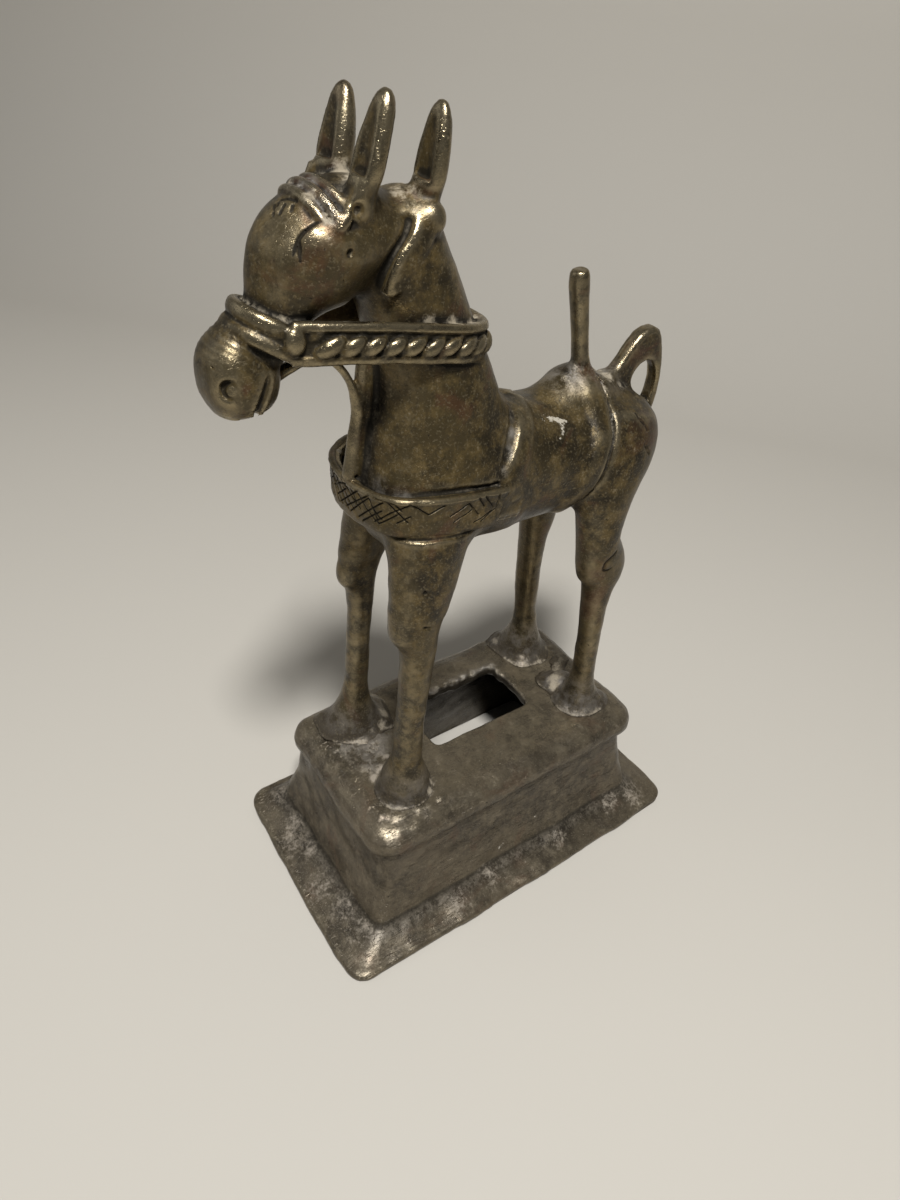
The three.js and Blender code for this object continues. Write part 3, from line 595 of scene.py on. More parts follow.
# Old solder flares each leg out on to the slab: bosses, lumps and runs, and a low skin between them.
mounds = {
    "bosses": [
        [[18, -39.9, 73, 2.6, 2.7], [18, -40, 67.5, 4.6, 4.7], [17.9, -40, 63, 6.6, 6.8], [17.7, -40, 59.4, 8.0, 8.2],
         [17.6, -40, 56.4, 8.5, 8.7], [17.6, -40, 54.4, 8.4, 8.6], [17.6, -40, 51, 8.6, 8.8]],
        [[-18, -39.2, 74, 2, 2.1], [-18, -39.4, 66, 4.8, 5], [-18, -39.6, 60, 7.4, 7.8], [-18, -39.8, 56.4, 8.8, 9.8],
         [-18, -40, 53.6, 9.4, 10.8], [-18, -40, 50, 9.4, 10.8]],
        [[-18, 41, 76, 2, 2], [-18, 41, 67, 4.8, 4.8], [-18.4, 41.2, 60.5, 7.4, 7.4], [-18.8, 41.4, 56.5, 9, 9],
         [-19, 41.6, 51, 10.4, 10.2]],
        [[18, 40.9, 74, 2, 2], [18, 41, 64, 4.4, 4.4], [17.6, 41.4, 58.5, 6.4, 6.6], [17.2, 42, 54.6, 8.2, 8.6],
         [17, 42, 51, 9.0, 9.4]],
    ],
    "plates": [[(-26.4, -50.6), (-17, -50.9), (-14.5, -44), (-11, -36.4), (-9.4, -28.8), (-21, -26.4), (-25.6, -30)]],
    "lumps": [((9.4, 42.0, 54.2), (7.2, 5.6, 4.4)), ((-25.0, 36.0, 53.6), (4.6, 4.4, 3.8)),
              ((21.5, 46.5, 53.4), (4, 5.5, 3.4)), ((5.6, 38.6, 52.6), (4.4, 3.4, 2.6)),
              ((-12.8, 38.2, 53), (4, 4.4, 2.8))],
    "runs": [[(21.0, 37.2, 62.0), (21.8, 36.4, 57.0), (22.6, 35.6, 53.4)],
             [(22.4, 42.0, 61.0), (23.6, 43.0, 56.6), (24.4, 44.4, 53.4)]],
    "ground": 52.15, "skin": 5.0,  # the level that the solder runs out to, and the reach of its fillet, mm
}

say("piling solder round the feet")
for boss in mounds["bosses"]:
    add(limb(boss), blend=3)
for outline in mounds["plates"]:
    add(plate(outline, 2, 50, 56.2, soft=1.6), blend=3)
for centre, halves in mounds["lumps"]:
    add(ball(centre, halves), blend=2.4)
for run in mounds["runs"]:
    add(wire(run, [0.7, 1.0, 0.9]), blend=0.9)
lowLegs = window((-60, -100, 49), (60, 100, 79))
metal[lowLegs] = boxBlur(metal[lowLegs], 0.9)
footArea = window((-60, -100, 49), (60, 100, 70))
ground = alongAxis(gridAxes[2][footArea[2]], 2) - np.float32(mounds["ground"])
add((footArea, np.broadcast_to(ground, metal[footArea].shape)), blend=mounds["skin"])

# A cast surface is never quite even; solder and the rod's mound are rougher still.
castSkin = {
    "swells": [(0.16, 1, 13), (0.08, 2, 5), (0.03, 3, 1.9)],  # height, seed and spacing of its unevenness
    "solderCoarse": 0.24, "solderFine": 0.2,
    "rodSpots": [(0, 24, 184.5, 9), (0, 37, 182, 10), (4, 33, 184, 7), (-4, 33, 184, 7)],
}
solderSpots = [(*boss[-3][:3], 13) for boss in mounds["bosses"]] + [(*c, max(h) + 2.0) for c, h in mounds["lumps"]]
solderSpots += castSkin["rodSpots"]


def near(points, spots):
    # 1 in the middle of the spots, falling to 0 at their edge
    out = np.zeros(len(points), np.float32)
    for x, y, z, r in spots:
        away = np.linalg.norm(points - np.array([x, y, z]), axis=1)
        out = np.maximum(out, np.clip(1.4 - 1.4 * away / r, 0, 1))
    return out


say("roughening the cast surface")
coarse, middling, fine = [lumps(seed, spacing) for _, seed, spacing in castSkin["swells"]]
metal += sum(height * form for (height, *_), form in zip(castSkin["swells"], (coarse, middling, fine)))
for x, y, z, r in solderSpots:
    area = window((x - r, y - r, z - r), (x + r, y + r, z + r))
    gx, gy, gz = np.ix_(*[axis[s] for axis, s in zip(gridAxes, area)])
    weight = np.clip(1.3 - 1.3 * np.sqrt((gx - x) ** 2 + (gy - y) ** 2 + (gz - z) ** 2) / r, 0, 1)
    metal[area] -= weight * (castSkin["solderCoarse"] * middling[area] + castSkin["solderFine"] * fine[area])
del coarse, middling, fine
metal = np.maximum(metal, slabLevel - alongAxis(gridAxes[2], 2))


def meshFromField(field):
    # one corner in each grid cell that the surface crosses, and a face across each crossed grid edge
    inside = field < 0
    count = np.zeros(np.array(field.shape) - 1, np.int8)
    nx, ny, nz = count.shape
    corners = [(i, j, k) for i in (0, 1) for j in (0, 1) for k in (0, 1)]
    for i, j, k in corners:
        count += inside[i:nx + i, j:ny + j, k:nz + k]
    cells = np.argwhere((count > 0) & (count < 8))
    number = np.full(count.shape, -1, np.int64)
    number[tuple(cells.T)] = np.arange(len(cells))
    total = np.zeros((len(cells), 3))
    crossings = np.zeros(len(cells))
    for a in corners:
        for axis in range(3):
            if a[axis]:
                continue
            b = list(a)
            b[axis] = 1
            fa = field[tuple((cells + a).T)]
            fb = field[tuple((cells + b).T)]
            crossed = (fa < 0) != (fb < 0)
            t = np.where(crossed, fa / np.where(crossed, fa - fb, 1), 0)
            place = np.tile(np.array(a, float), (len(cells), 1))
            place[:, axis] += t
            total += place * crossed[:, None]
            crossings += crossed
    points = gridLow + (cells + total / crossings[:, None]) * gridStep
    faces = []
    for axis in range(3):
        step = [0, 0, 0]
        step[axis] = 1
        other = [k for k in range(3) if k != axis]
        trimmed = tuple(slice(0, n - 1) if k == axis else slice(1, n - 1) for k, n in enumerate(field.shape))
        ahead = tuple(slice(s.start + step[k], s.stop + step[k]) for k, s in enumerate(trimmed))
        changed = inside[trimmed] != inside[ahead]
        spots = np.argwhere(changed) + [s.start for s in trimmed]
        ring = []
        for back in ((0, 0), (-1, 0), (-1, -1), (0, -1)):
            cell = spots.copy()
            cell[:, other] += back
            ring.append(number[tuple(cell.T)])
        quads = np.stack(ring, 1)
        flip = inside[tuple(spots.T)] == (axis == 1)
        quads[flip] = quads[flip][:, ::-1]
        faces.append(quads)
    return points, np.concatenate(faces)


def sample(grid, points):
    # the grid's value at points, by straight-line interpolation
    place = np.clip((points - gridLow) / gridStep, 0, np.array(grid.shape) - 1.001)
    whole = place.astype(int)
    part = place - whole
    out = np.zeros(len(points))
    for i in (0, 1):
        for j in (0, 1):
            for k in (0, 1):
                weight = np.prod(np.where([i, j, k], part, 1 - part), axis=1)
                out += weight * grid[whole[:, 0] + i, whole[:, 1] + j, whole[:, 2] + k]
    return out


def linked(name, data):
    made = bpy.data.objects.new(name, data)
    bpy.context.scene.collection.objects.link(made)
    return made


def makeMesh(name, points, faces):
    mesh = bpy.data.meshes.new(name)
    points = (points + shift) / 1000
    mesh.vertices.add(len(points))
    mesh.vertices.foreach_set("co", points.ravel())
    sides = faces.shape[1]
    mesh.loops.add(faces.size)
    mesh.loops.foreach_set("vertex_index", faces.ravel())
    mesh.polygons.add(len(faces))
    mesh.polygons.foreach_set("loop_start", np.arange(0, faces.size, sides))
    mesh.polygons.foreach_set("loop_total", np.full(len(faces), sides))
    mesh.update(calc_edges=True)
    mesh.validate()
    return linked(name, mesh)


def pointsOf(piece):
    co = np.empty(len(piece.data.vertices) * 3)
    piece.data.vertices.foreach_get("co", co)
    return co.reshape(-1, 3) * 1000 - shift


def awayFrom(points, lines):
    # mm to the nearest drawn line, less the line's own half width; lines are points [x, y, z, half width]
    out = np.full(len(points), 9.0)
    for line in lines:
        line = np.array(line, float)
        for a, b in zip(line, line[1:]):
            step = b[:3] - a[:3]
            t = np.clip((points - a[:3]) @ step / step.dot(step), 0, 1)
            gone = np.linalg.norm(points - a[:3] - t[:, None] * step, axis=1) - (a[3] + (b[3] - a[3]) * t)
            out = np.minimum(out, gone)
    return out


def store(piece, name, values):
    # keeps a value for each point, which the material reads; one number serves for all points
    layer = piece.data.attributes.new(name, "FLOAT", "POINT")
    layer.data.foreach_set("value", np.full(len(piece.data.vertices), values, np.float32))


def shadeSmooth(mesh):
    mesh.polygons.foreach_set("use_smooth", np.ones(len(mesh.polygons), bool))


say("meshing the horse")
points, faces = meshFromField(metal)
horse = makeMesh("castHorse", points, faces)
say(f"{len(faces)} faces before thinning")
thin = horse.modifiers.new("thin", "DECIMATE")
thin.ratio = min(1, fieldGrid["triangles"] / (2 * len(faces)))
graph = bpy.context.evaluated_depsgraph_get()
horse.data = bpy.data.meshes.new_from_object(horse.evaluated_get(graph))
horse.modifiers.clear()
horse.data.name = "castHorse"
shadeSmooth(horse.data)
say(f"{sum(len(p.vertices) - 2 for p in horse.data.polygons)} triangles in the horse")

# Where dust has settled, as x, y, z and reach in mm; the same on both sides of the horse.
dustSpots = [
    (5, -61.8, 240.8, 2.6), (9.6, -60.6, 238, 2.0), (7.4, -50.4, 242.5, 3.4), (2.6, -50, 243.6, 4.4),
    (4, -34.6, 239.5, 3.6), (2, -38.5, 238, 4.4), (12.4, -36, 213.8, 2.4), (12.8, -29, 212.6, 2.8),
    (11, -22, 210.6, 2.8), (5, -16.4, 209.4, 2.6), (10.6, -63.5, 216.2, 2.2), (3, -74, 218.4, 2.8),
    (7.2, -70.7, 217.8, 2.2), (3, 37.4, 182.6, 4.6), (7.6, 33, 181.6, 2.2), (3.4, 43, 179.4, 2.6),
    (3.6, -47.2, 190, 1.8), (4.0, -48, 182, 1.8), (14, -46, 170.8, 1.8),
]
dustSpots += [(-x, y, z, r) for x, y, z, r in dustSpots if x > 2]
feetDust = [
    (-15.4, -47.4, 54.6, 3.2), (-13.0, -43, 54.8, 3.4), (-11.2, -38, 55, 3.4), (-10.2, -33, 54.6, 3),
    (-13.2, -29, 56.4, 3.2), (-25.8, -45, 54, 2.4), (6.8, -42.4, 53.4, 2.8), (3.4, -38.6, 53.2, 2.2),
    (9, -47, 53.2, 2.4), (24.4, -34.4, 53.8, 2.4), (21.6, -31.4, 54, 2.4), (6.6, 39, 56, 3.8), (9.0, 36.6, 55.4, 3.4),
    (4.4, 42.4, 55, 3), (-24.4, 33.8, 55, 3), (-14, 38, 54.2, 2.4), (-12.2, 45, 54, 2.4),
]
solderSpots += [(0, -60.6, 242, 5), (6, -60, 241, 4.5), (10, -59, 238.6, 3), (-6, -60, 241, 4.5), (-10, -59, 238.6, 3)]
solderSpots += [(16.2, -10.6, 175.4, 2.8), (18.0, -13.4, 171, 2.6), (12.6, -7.6, 179.0, 2.6), (9, -48, 171.4, 4),
                (15.6, -45, 171.2, 4)]
# pale chips and dried runs of solder, drawn as lines with a half width
chips = [
    [(9.0, 7.6, 179.6, 0.0), (9.6, 9.2, 179.0, 0.35), (10.4, 11.0, 178.3, 0.5), (11.2, 13.4, 177.5, 0.85),
     (11.9, 15.4, 176.9, 0.2)],
    [(11.6, 13.4, 177.2, 0.8), (12.6, 13.0, 176.0, 0.55), (13.8, 12.0, 174.7, 0.45), (14.9, 10.4, 173.4, 0.0)],
    [(10.2, 6.6, 178.8, 0.0), (10.8, 8.6, 178.2, 0.2), (11.6, 10.6, 177.2, 0.0)],
    [(9.6, 32.5, 180.3, 0.3), (9.4, 35.3, 178.6, 0.25)],
    [(12.5, 33.8, 176, 0.3), (15, 32, 173.5, 0.2), (17.6, 29.7, 171.3, 0.0)],
    [(4, 43.8, 179, 0.2), (5.7, 43.7, 178.3, 0.2)],
]

# How far each spot is shut in by metal around it, close by and further off: 0.5 on a flat face, more in a hollow.
filled = (metal < 0).astype(np.float32)
filled[:, :, gridAxes[2] < slabLevel] = 1
spots = pointsOf(horse)
# against the slab both are held back, or the solder's thin edge would show as a black line
held = np.clip((58.5 - spots[:, 2]) / 4, 0, 0.9)
store(horse, "closeHollow", 0.5 + (sample(boxBlur(filled, 1.5), spots) - 0.5) * (1 - held))
store(horse, "wideHollow", 0.5 + (sample(boxBlur(filled, 4.5), spots) - 0.5) * (1 - 0.7 * held))
store(horse, "solder", near(spots, solderSpots))
# fine dust has settled along the solder's thin edge
edgeDust = 0.6 * np.clip((54.6 - spots[:, 2]) / 1.2, 0, 1) * patchy(spots)
store(horse, "dusty", np.maximum(near(spots, dustSpots + feetDust), edgeDust))
store(horse, "foot", np.clip((66 - spots[:, 2]) / 9, 0, 1))
store(horse, "chipAway", awayFrom(spots, chips))
store(horse, "cutAway", awayFrom(spots, [[[*p, 0.5 * r] for p, r in zip(path, thick)] for path, thick in cutLines]))
del filled, metal

# The band's face is a fine mesh of its own over its core in the casting, so that the engraver's strokes stay sharp.
# A stroke is points in mm round from the front and mm up from the band's middle.
bandFace = {
    "spacing": 0.22, "rows": 58, "low": -5.7, "high": 6.1,  # mm between points, and the face's lower and upper edge
    "thick": 1.95, "edges": (6.1, 6.6), "rim": 0.5, "rimAt": 5.2,  # the edges are where its rounding would reach nought
    "back": [(6.1, 0.5), (5.2, 0.4), (4.6, -1.2), (0.0, -1.2), (-5.7, -1.2)],  # mm up and mm out, behind the face
    "strokeDepth": 0.55, "strokeHalf": 0.36, "endRounding": 1.4, "endSunk": 1.6,
    "swells": [(0.1, 21, 11), (0.05, 22, 3.4)],
}
strokes = [
    [(-1.2, 5.0), (2.8, 2.9)], [(2.8, 2.9), (6.9, 0.0)], [(5.3, 5.0), (8.1, 1.7), (12.6, -2.2)],
    [(9.3, 5.0), (12.3, -1.1)], [(11.2, 5.2), (16.4, 4.8), (18.0, 2.6)], [(14.5, 5.0), (19.6, -0.9)],
    [(19.9, 5.0), (24.6, 1.6)], [(-2.0, -2.3), (6.1, 5.2)], [(0.8, -2.2), (9.7, 5.2)], [(2.8, -2.8), (9.3, 4.0)],
    [(6.1, -3.0), (13.6, 4.4)], [(7.7, -3.5), (13.3, 1.7)], [(11.6, -2.1), (15.5, 1.6), (19.9, 4.7)],
    [(12.6, -2.5), (17.1, 1.3)], [(17.1, -1.2), (20.2, 1.0)], [(11.2, 1.5), (13.3, -0.8)], [(24.6, 1.6), (28.8, 4.0)],
    [(30.8, 0.3), (36.3, 3.6)], [(32.0, -1.7), (38.2, 1.7)], [(38.6, -2.9), (44.3, -0.1)], [(40.9, -2.7), (45.8, 0.3)],
    [(36.3, 3.6), (39.8, -0.5)], [(39.4, 5.0), (41.7, 1.7)], [(41.7, 5.0), (44.7, 1.4)],
    [(46.6, 5.0), (47.3, 3.2), (46.2, 1.4)], [(-3.4, 4.6), (-5.6, 1.2)], [(-4.4, -1.6), (0.6, 3.0)],
]
say("laying the band's face")
high = np.concatenate([np.linspace(bandFace["low"], bandFace["high"], bandFace["rows"]),
                       [h for h, _ in bandFace["back"]]])
count = int(2 * harness["bandEnd"][0] / bandFace["spacing"])
part = np.linspace(-1, 1, count)[:, None]
around = part * (harness["bandEnd"][0] + harness["bandEnd"][1] * high)
lowEdge, highEdge = bandFace["edges"]
section = 1 - np.abs(high / np.where(high > 0, highEdge, lowEdge)) ** np.where(high > 0, 9, 4)
section = bandFace["thick"] * section ** 0.3 + bandFace["rim"] * hump(high, bandFace["rimAt"], 0.75)
section[-len(bandFace["back"]):] = [out for _, out in bandFace["back"]]
unrolled = np.column_stack([np.zeros(around.size), around.ravel(), np.tile(high, count)])
cut = np.full(around.size, 9.0)
for side in (1, -1):
    cut = np.minimum(cut, awayFrom(unrolled, [[(0, side * a, h, 0) for a, h in stroke] for stroke in strokes]))
outer = np.tile(np.arange(len(high)) < bandFace["rows"], count)
groove = (np.clip(1 - cut / bandFace["strokeHalf"], 0, 1) * outer).reshape(around.shape)
ends = np.clip((1 - np.abs(part)) * harness["bandEnd"][0] / bandFace["endRounding"], 0, 1) ** 0.5
heart, outward = onBand(around, heres), onBand(around, outs)
level = (heart + outward * section[:, None] + high[:, None] * up).reshape(-1, 3)
uneven = swells(level, bandFace["swells"]).reshape(around.shape)
rise = (section + (uneven - bandFace["strokeDepth"] * groove) * outer.reshape(around.shape)) * ends
rise = rise - bandFace["endSunk"] * (1 - ends)
level = heart + outward * rise[..., None] + high[:, None] * up
index = np.arange(level[..., 0].size).reshape(around.shape)
beside = np.roll(index, -1, 1)
quads = np.stack([index[:-1], beside[:-1], beside[1:], index[1:]], -1).reshape(-1, 4)
band = makeMesh("castBreastBand", level.reshape(-1, 3), quads)
shadeSmooth(band.data)
frontFace = band.data.polygons[(count // 2) * len(high) + 20]
if frontFace.normal.y > 0:
    band.data.flip_normals()
rimHere = np.tile(hump(high, 5.3, 0.8), count)
store(band, "closeHollow", 0.495 + 0.13 * np.clip(groove.ravel() * 1.6, 0, 1) - 0.09 * rimHere)
for name, value in (("wideHollow", 0.5), ("solder", 0), ("dusty", 0), ("foot", 0), ("chipAway", 9), ("cutAway", 9)):
    store(band, name, value)
say(f"{2 * len(quads)} triangles in the band's face")

plinthSizes = {
    "flangeHalf": (47.3, 77.5), "waistFoot": (37.3, 62.5, 9.5), "waistHead": (32.2, 57.0, 41.0),
    "slabHalf": (34.8, 60.6), "slabFoot": 42.0, "slabTop": 53.0, "wall": 2.4, "hole": (-3.4, 2.1, 11.8, 21.6),
    "holeCorner": 2.2,
    # how far the flange's front right corner is set back, and the flange to the left
    "cornerBack": 3.0, "flangeRight": 1.2,
    "swells": [(0.22, 11, 26), (0.1, 12, 9), (0.035, 13, 3.6)],  # height, seed and spacing of its unevenness
    "outerRings": 24,  # how many of the key rings lie on the outside
    "cornerPoints": 14, "sidePointsX": 76, "sidePointsY": 118,
}


def roundedRing(halfX, halfY, corner, cx=0.0, cy=0.0, bow=0.0):
    # points round a rectangle with rounded corners, anticlockwise, always the same number
    ring = []
    quadrants = [(1, 1), (-1, 1), (-1, -1), (1, -1)]
    n = plinthSizes["cornerPoints"]
    for q, (sx, sy) in enumerate(quadrants):
        for i in range(n + 1):
            turn = (q + i / n) * math.pi / 2
            ring.append((sx * (halfX - corner) + corner * math.cos(turn),
                         sy * (halfY - corner) + corner * math.sin(turn)))
        tx, ty = quadrants[(q + 1) % 4]
        endSide = sy == ty
        count = plinthSizes["sidePointsX"] if endSide else plinthSizes["sidePointsY"]
        x0, y0 = ring[-1]
        x1 = tx * (halfX - corner) if endSide else x0
        y1 = y0 if endSide else ty * (halfY - corner)
        for i in range(1, count):
            t = i / count
            out = bow * 4 * t * (1 - t)
            ring.append((x0 + (x1 - x0) * t + (0 if endSide else sx * out),
                         y0 + (y1 - y0) * t + (sy * out if endSide else 0)))
    return np.array(ring) + [cx, cy]


def plinthRings():
    # key rings of the shell with the number of steps to the next: up the outside, through the hole, down the inside
    p = plinthSizes
    fx, fy = p["flangeHalf"]
    wx, wy, wz = p["waistFoot"]
    hx, hy, hz = p["waistHead"]
    sx, sy = p["slabHalf"]
    ox, oy, ohx, ohy = p["hole"]
    top, foot, wall = p["slabTop"], p["slabFoot"], p["wall"]

    def flange(inset, corner, z):
        ring = roundedRing(fx - inset, fy - inset, corner, bow=0.8)
        toFront = np.maximum(0, -ring[:, 1] / fy)
        toRight = 0.5 - ring[:, 0] / (2 * fx)
        ring[:, 1] += p["cornerBack"] * toFront * toRight
        ring[:, 0] += p["flangeRight"]
        return ring, z

    def slab(inset, corner, z):
        return roundedRing(sx - inset, sy - inset, corner, cx=0.7, bow=0.3), z

    def waist(half, inset, corner, z):
        return roundedRing(half[0] - inset, half[1] - inset, corner), z

    def throat(out, z):
        return roundedRing(ohx + out, ohy + out, p["holeCorner"] + out, cx=ox, cy=oy), z

    low, high = (wx, wy), (hx, hy)
    return [
        (*flange(1.1, 7, 0), 2), (*flange(0.4, 7.2, 0.35), 2), (*flange(0.05, 7.5, 1.2), 2),
        (*flange(0.1, 7.5, 2.2), 2), (*flange(0.9, 7.4, 2.95), 3), (*flange(3.2, 7.2, 3.6), 9),
        (*waist(low, -1.7, 5.2, wz - 1.9), 2), (*waist(low, -0.5, 5, wz - 0.6), 2), (*waist(low, 0.1, 5, wz + 0.9), 14),
        (*waist(high, -1.9, 5, 23), 14), (*waist(high, -0.2, 5.4, hz - 3.2), 3), (*waist(high, -0.1, 5.8, hz - 0.6), 2),
        (*waist(high, -0.5, 6, foot - 0.3), 2), (*slab(2.2, 8, foot - 0.1), 2), (*slab(0.8, 8.6, foot + 0.5), 2),
        (*slab(0.2, 9, foot + 1.9), 3), (*slab(0, 9.5, foot + 4.0), 4), (*slab(0.6, 9.3, foot + 6.2), 3),
        (*slab(2.0, 9, top - 3.1), 3), (*slab(4.0, 8, top - 1.7), 3), (*slab(6.8, 7, top - 0.75), 4),
        (*slab(11, 5, top - 0.12), 14), (*throat(1.9, top), 2), (*throat(0.8, top - 0.2), 2),
        (*throat(0.1, top - 0.9), 4), (*throat(0.2, top - 3.6), 2), (*throat(0.8, top - 4.5), 8),
        (*waist(high, wall + 2.2, 4.4, top - 4.7), 3), (*waist(high, wall, 4, top - 7), 10),
        (*waist(high, wall, 4, hz - 2.5), 18), (*waist(low, wall + 2.4, 4, 4.6), 6),
        (*waist(low, wall + 2.2, 4, 0.5), 2), (*waist(low, wall + 1.6, 4, 0), 5),
    ]


say("modelling the plinth")
keys = plinthRings()
rings = []
for i, (ring, z, steps) in enumerate(keys):
    nextRing, nextZ, _ = keys[(i + 1) % len(keys)]
    for t in np.arange(steps) / steps:
        flat = ring + (nextRing - ring) * t
        rings.append(np.column_stack([flat, np.full(len(flat), z + (nextZ - z) * t)]))
grid = np.array(rings)
levels, around = grid.shape[:2]
index = np.arange(levels * around).reshape(levels, around)
above = np.roll(index, -1, 0)
faces = np.stack([index, np.roll(index, -1, 1), np.roll(above, -1, 1), above], -1).reshape(-1, 4)
points = grid.reshape(-1, 3)
across = np.roll(grid, -1, 1) - np.roll(grid, 1, 1)
along = np.roll(grid, -1, 0) - np.roll(grid, 1, 0)
normals = unit(np.cross(across, along)).reshape(-1, 3)
if (normals * (points - [0, 0, 20])).sum(1).mean() < 0:
    normals = -normals
swell = swells(points, plinthSizes["swells"])
swell[points[:, 2] < 0.6] *= 0.15  # the rim that it stands on stays nearly flat
points = points + normals * swell[:, None]
# the hole's edge is ragged, most of all on its far side
ox, oy, ohx, ohy = plinthSizes["hole"]
fromHole = np.maximum(np.abs(points[:, 0] - ox) - ohx, np.abs(points[:, 1] - oy) - ohy)
edge = hump(np.maximum(fromHole, -1), 0, 3.2) * (points[:, 2] > 46)
ragged = 0.5 * wave(points * [1, 1, 0.1], 14, 15) + 0.2 * wave(points * [1, 1, 0.2], 15, 5)
farSide = np.clip((ox - points[:, 0]) / ohx, 0, 1)
inward = unit(np.column_stack([ox - points[:, 0], 0.5 * (oy - points[:, 1]), 0 * points[:, 2]]))
points += inward * (edge * ragged * (0.35 + 0.8 * farSide))[:, None]
lip = hump(fromHole, 0, 1.6) * (points[:, 2] > 51.5) * farSide
points[:, 2] += lip * (0.35 + 0.35 * wave(points, 16, 3.4))
# a rough skin of old solder lies on the slab between the fore feet
skins = {
    "outline": [(-16.4, -50.4), (-8.9, -52.0), (0.6, -49.9), (8.4, -46.7), (3.0, -37.2), (-6.9, -30.2), (-13, -34)],
    "height": 0.45, "edge": 4.5, "swells": [(0.22, 17, 4), (0.1, 18, 2)],
}
fromSkin = fromOutline(points[:, 0], points[:, 1], skins["outline"])
skin = np.clip(0.5 - fromSkin / skins["edge"], 0, 1) * (points[:, 2] > 51)
points[:, 2] += skin * swells(points, skins["swells"], skins["height"])
# the slab stays level under the feet, so that the solder meets it
for x, y in feet:
    under = (points[:, 2] > 52.3) & (np.hypot(points[:, 0] - x, points[:, 1] - y) < 15)
    points[under, 2] = np.maximum(points[under, 2], plinthSizes["slabTop"])
points[:, 2] = np.clip(points[:, 2], 0, 54.5)
plinth = makeMesh("castPlinth", points, faces)
if sum(p.center.dot(p.normal) for p in list(plinth.data.polygons)[:200]) < 0:
    plinth.data.flip_normals()
shadeSmooth(plinth.data)
spots = pointsOf(plinth)
say(f"{2 * len(plinth.data.polygons)} triangles in the plinth")
outerLevels = sum(steps for *_, steps in keys[:plinthSizes["outerRings"]])
outside = np.repeat([1, 0], [outerLevels * around, (levels - outerLevels) * around])
z = spots[:, 2]
# the creases, the dirt and painted shade in the fillets, and the worn rims with painted highlight lines, each as
# weight, height and reach of bands round the plinth
plinthWear = [
    [(1, 9.0, 1.5), (1, 41.4, 0.9)],
    [(1, 7.6, 2.6), (0.5, 41.2, 1.4)],
    [(1, 50.9, 1.6), (1, 2.6, 0.9), (1.2, 42.9, 0.45)],
]
crease, fillet, rimsAndHighlights = [sum(weight * hump(z, at, reach) for weight, at, reach in bands) for bands in plinthWear]
# the slab's whole top is lightened as well, partly as rubbed metal and partly as painted highlight
rimsAndHighlights = rimsAndHighlights + 0.8 * (z > 52.4)
store(plinth, "closeHollow", 0.5 + outside * (0.09 * crease - 0.05 * rimsAndHighlights) + 0.03 * (1 - outside))
# the fillets get dust and painted shade, and the whole inside of the shell is darkened with painted shade
store(plinth, "wideHollow", 0.5 + outside * 0.10 * fillet + 0.14 * (1 - outside))
silver = 0.8 * skin + hump(np.maximum(fromHole, -1), 0, 1.7) * farSide * (z > 51.6)
store(plinth, "solder", np.clip(silver + near(spots, [(x, y, 53, 11) for x, y in feet]), 0, 1) * outside)
# dust streaks lie on the flange, above all in front and at the far right corner
streaks = [(34, -66, 6, 8), (10, -71, 5.4, 9), (-14, -70, 5.6, 9), (-36, -64, 5.6, 8), (42, 62, 6, 10),
           (40, 50, 6.6, 8), (43, -30, 5.6, 7), (41, -14, 6.4, 7), (42, 20, 6, 6), (-20, -67, 7, 8), (-6, -67, 7.4, 7),
           (22, -67, 7, 8)]
roundFeet = 0.45 * near(spots, [(x, y, 53, 15 if x > 0 else 17) for x, y in feet]) * patchy(spots)
store(plinth, "dusty", np.clip(near(spots, feetDust) + 0.5 * near(spots, streaks) + roundFeet, 0, 1) * outside)
# two small pale chips on the waist
plinthChips = [[(36.7, -8.2, 12.7, 0.0), (36.5, -6.8, 13.1, 0.5), (36.4, -5.2, 13.6, 0.4), (36.2, -3.8, 14.1, 0.0)],
               [(35.5, 10.4, 18.1, 0.0), (35.3, 11.4, 18.6, 0.5), (35.2, 12.2, 18.9, 0.1)]]
store(plinth, "chipAway", awayFrom(spots, plinthChips))
store(plinth, "foot", 0)
store(plinth, "cutAway", 9)


def newMaterial(name):
    material = bpy.data.materials.new(name)
    material.use_nodes = True
    tree = material.node_tree
    return material, tree, tree.nodes["Principled BSDF"]


def node(tree, kind, inputs, output=0, **settings):
    # adds a shader node; an input is a socket to link, an sRGB hex colour or a plain value
    made = tree.nodes.new("ShaderNode" + kind)
    for name, value in settings.items():
        setattr(made, name, value)
    for key, value in inputs.items():
        if isinstance(value, bpy.types.NodeSocket):
            tree.links.new(value, made.inputs[key])
        else:
            made.inputs[key].default_value = hexColour(value) if isinstance(value, str) else value
    return made.outputs[output]


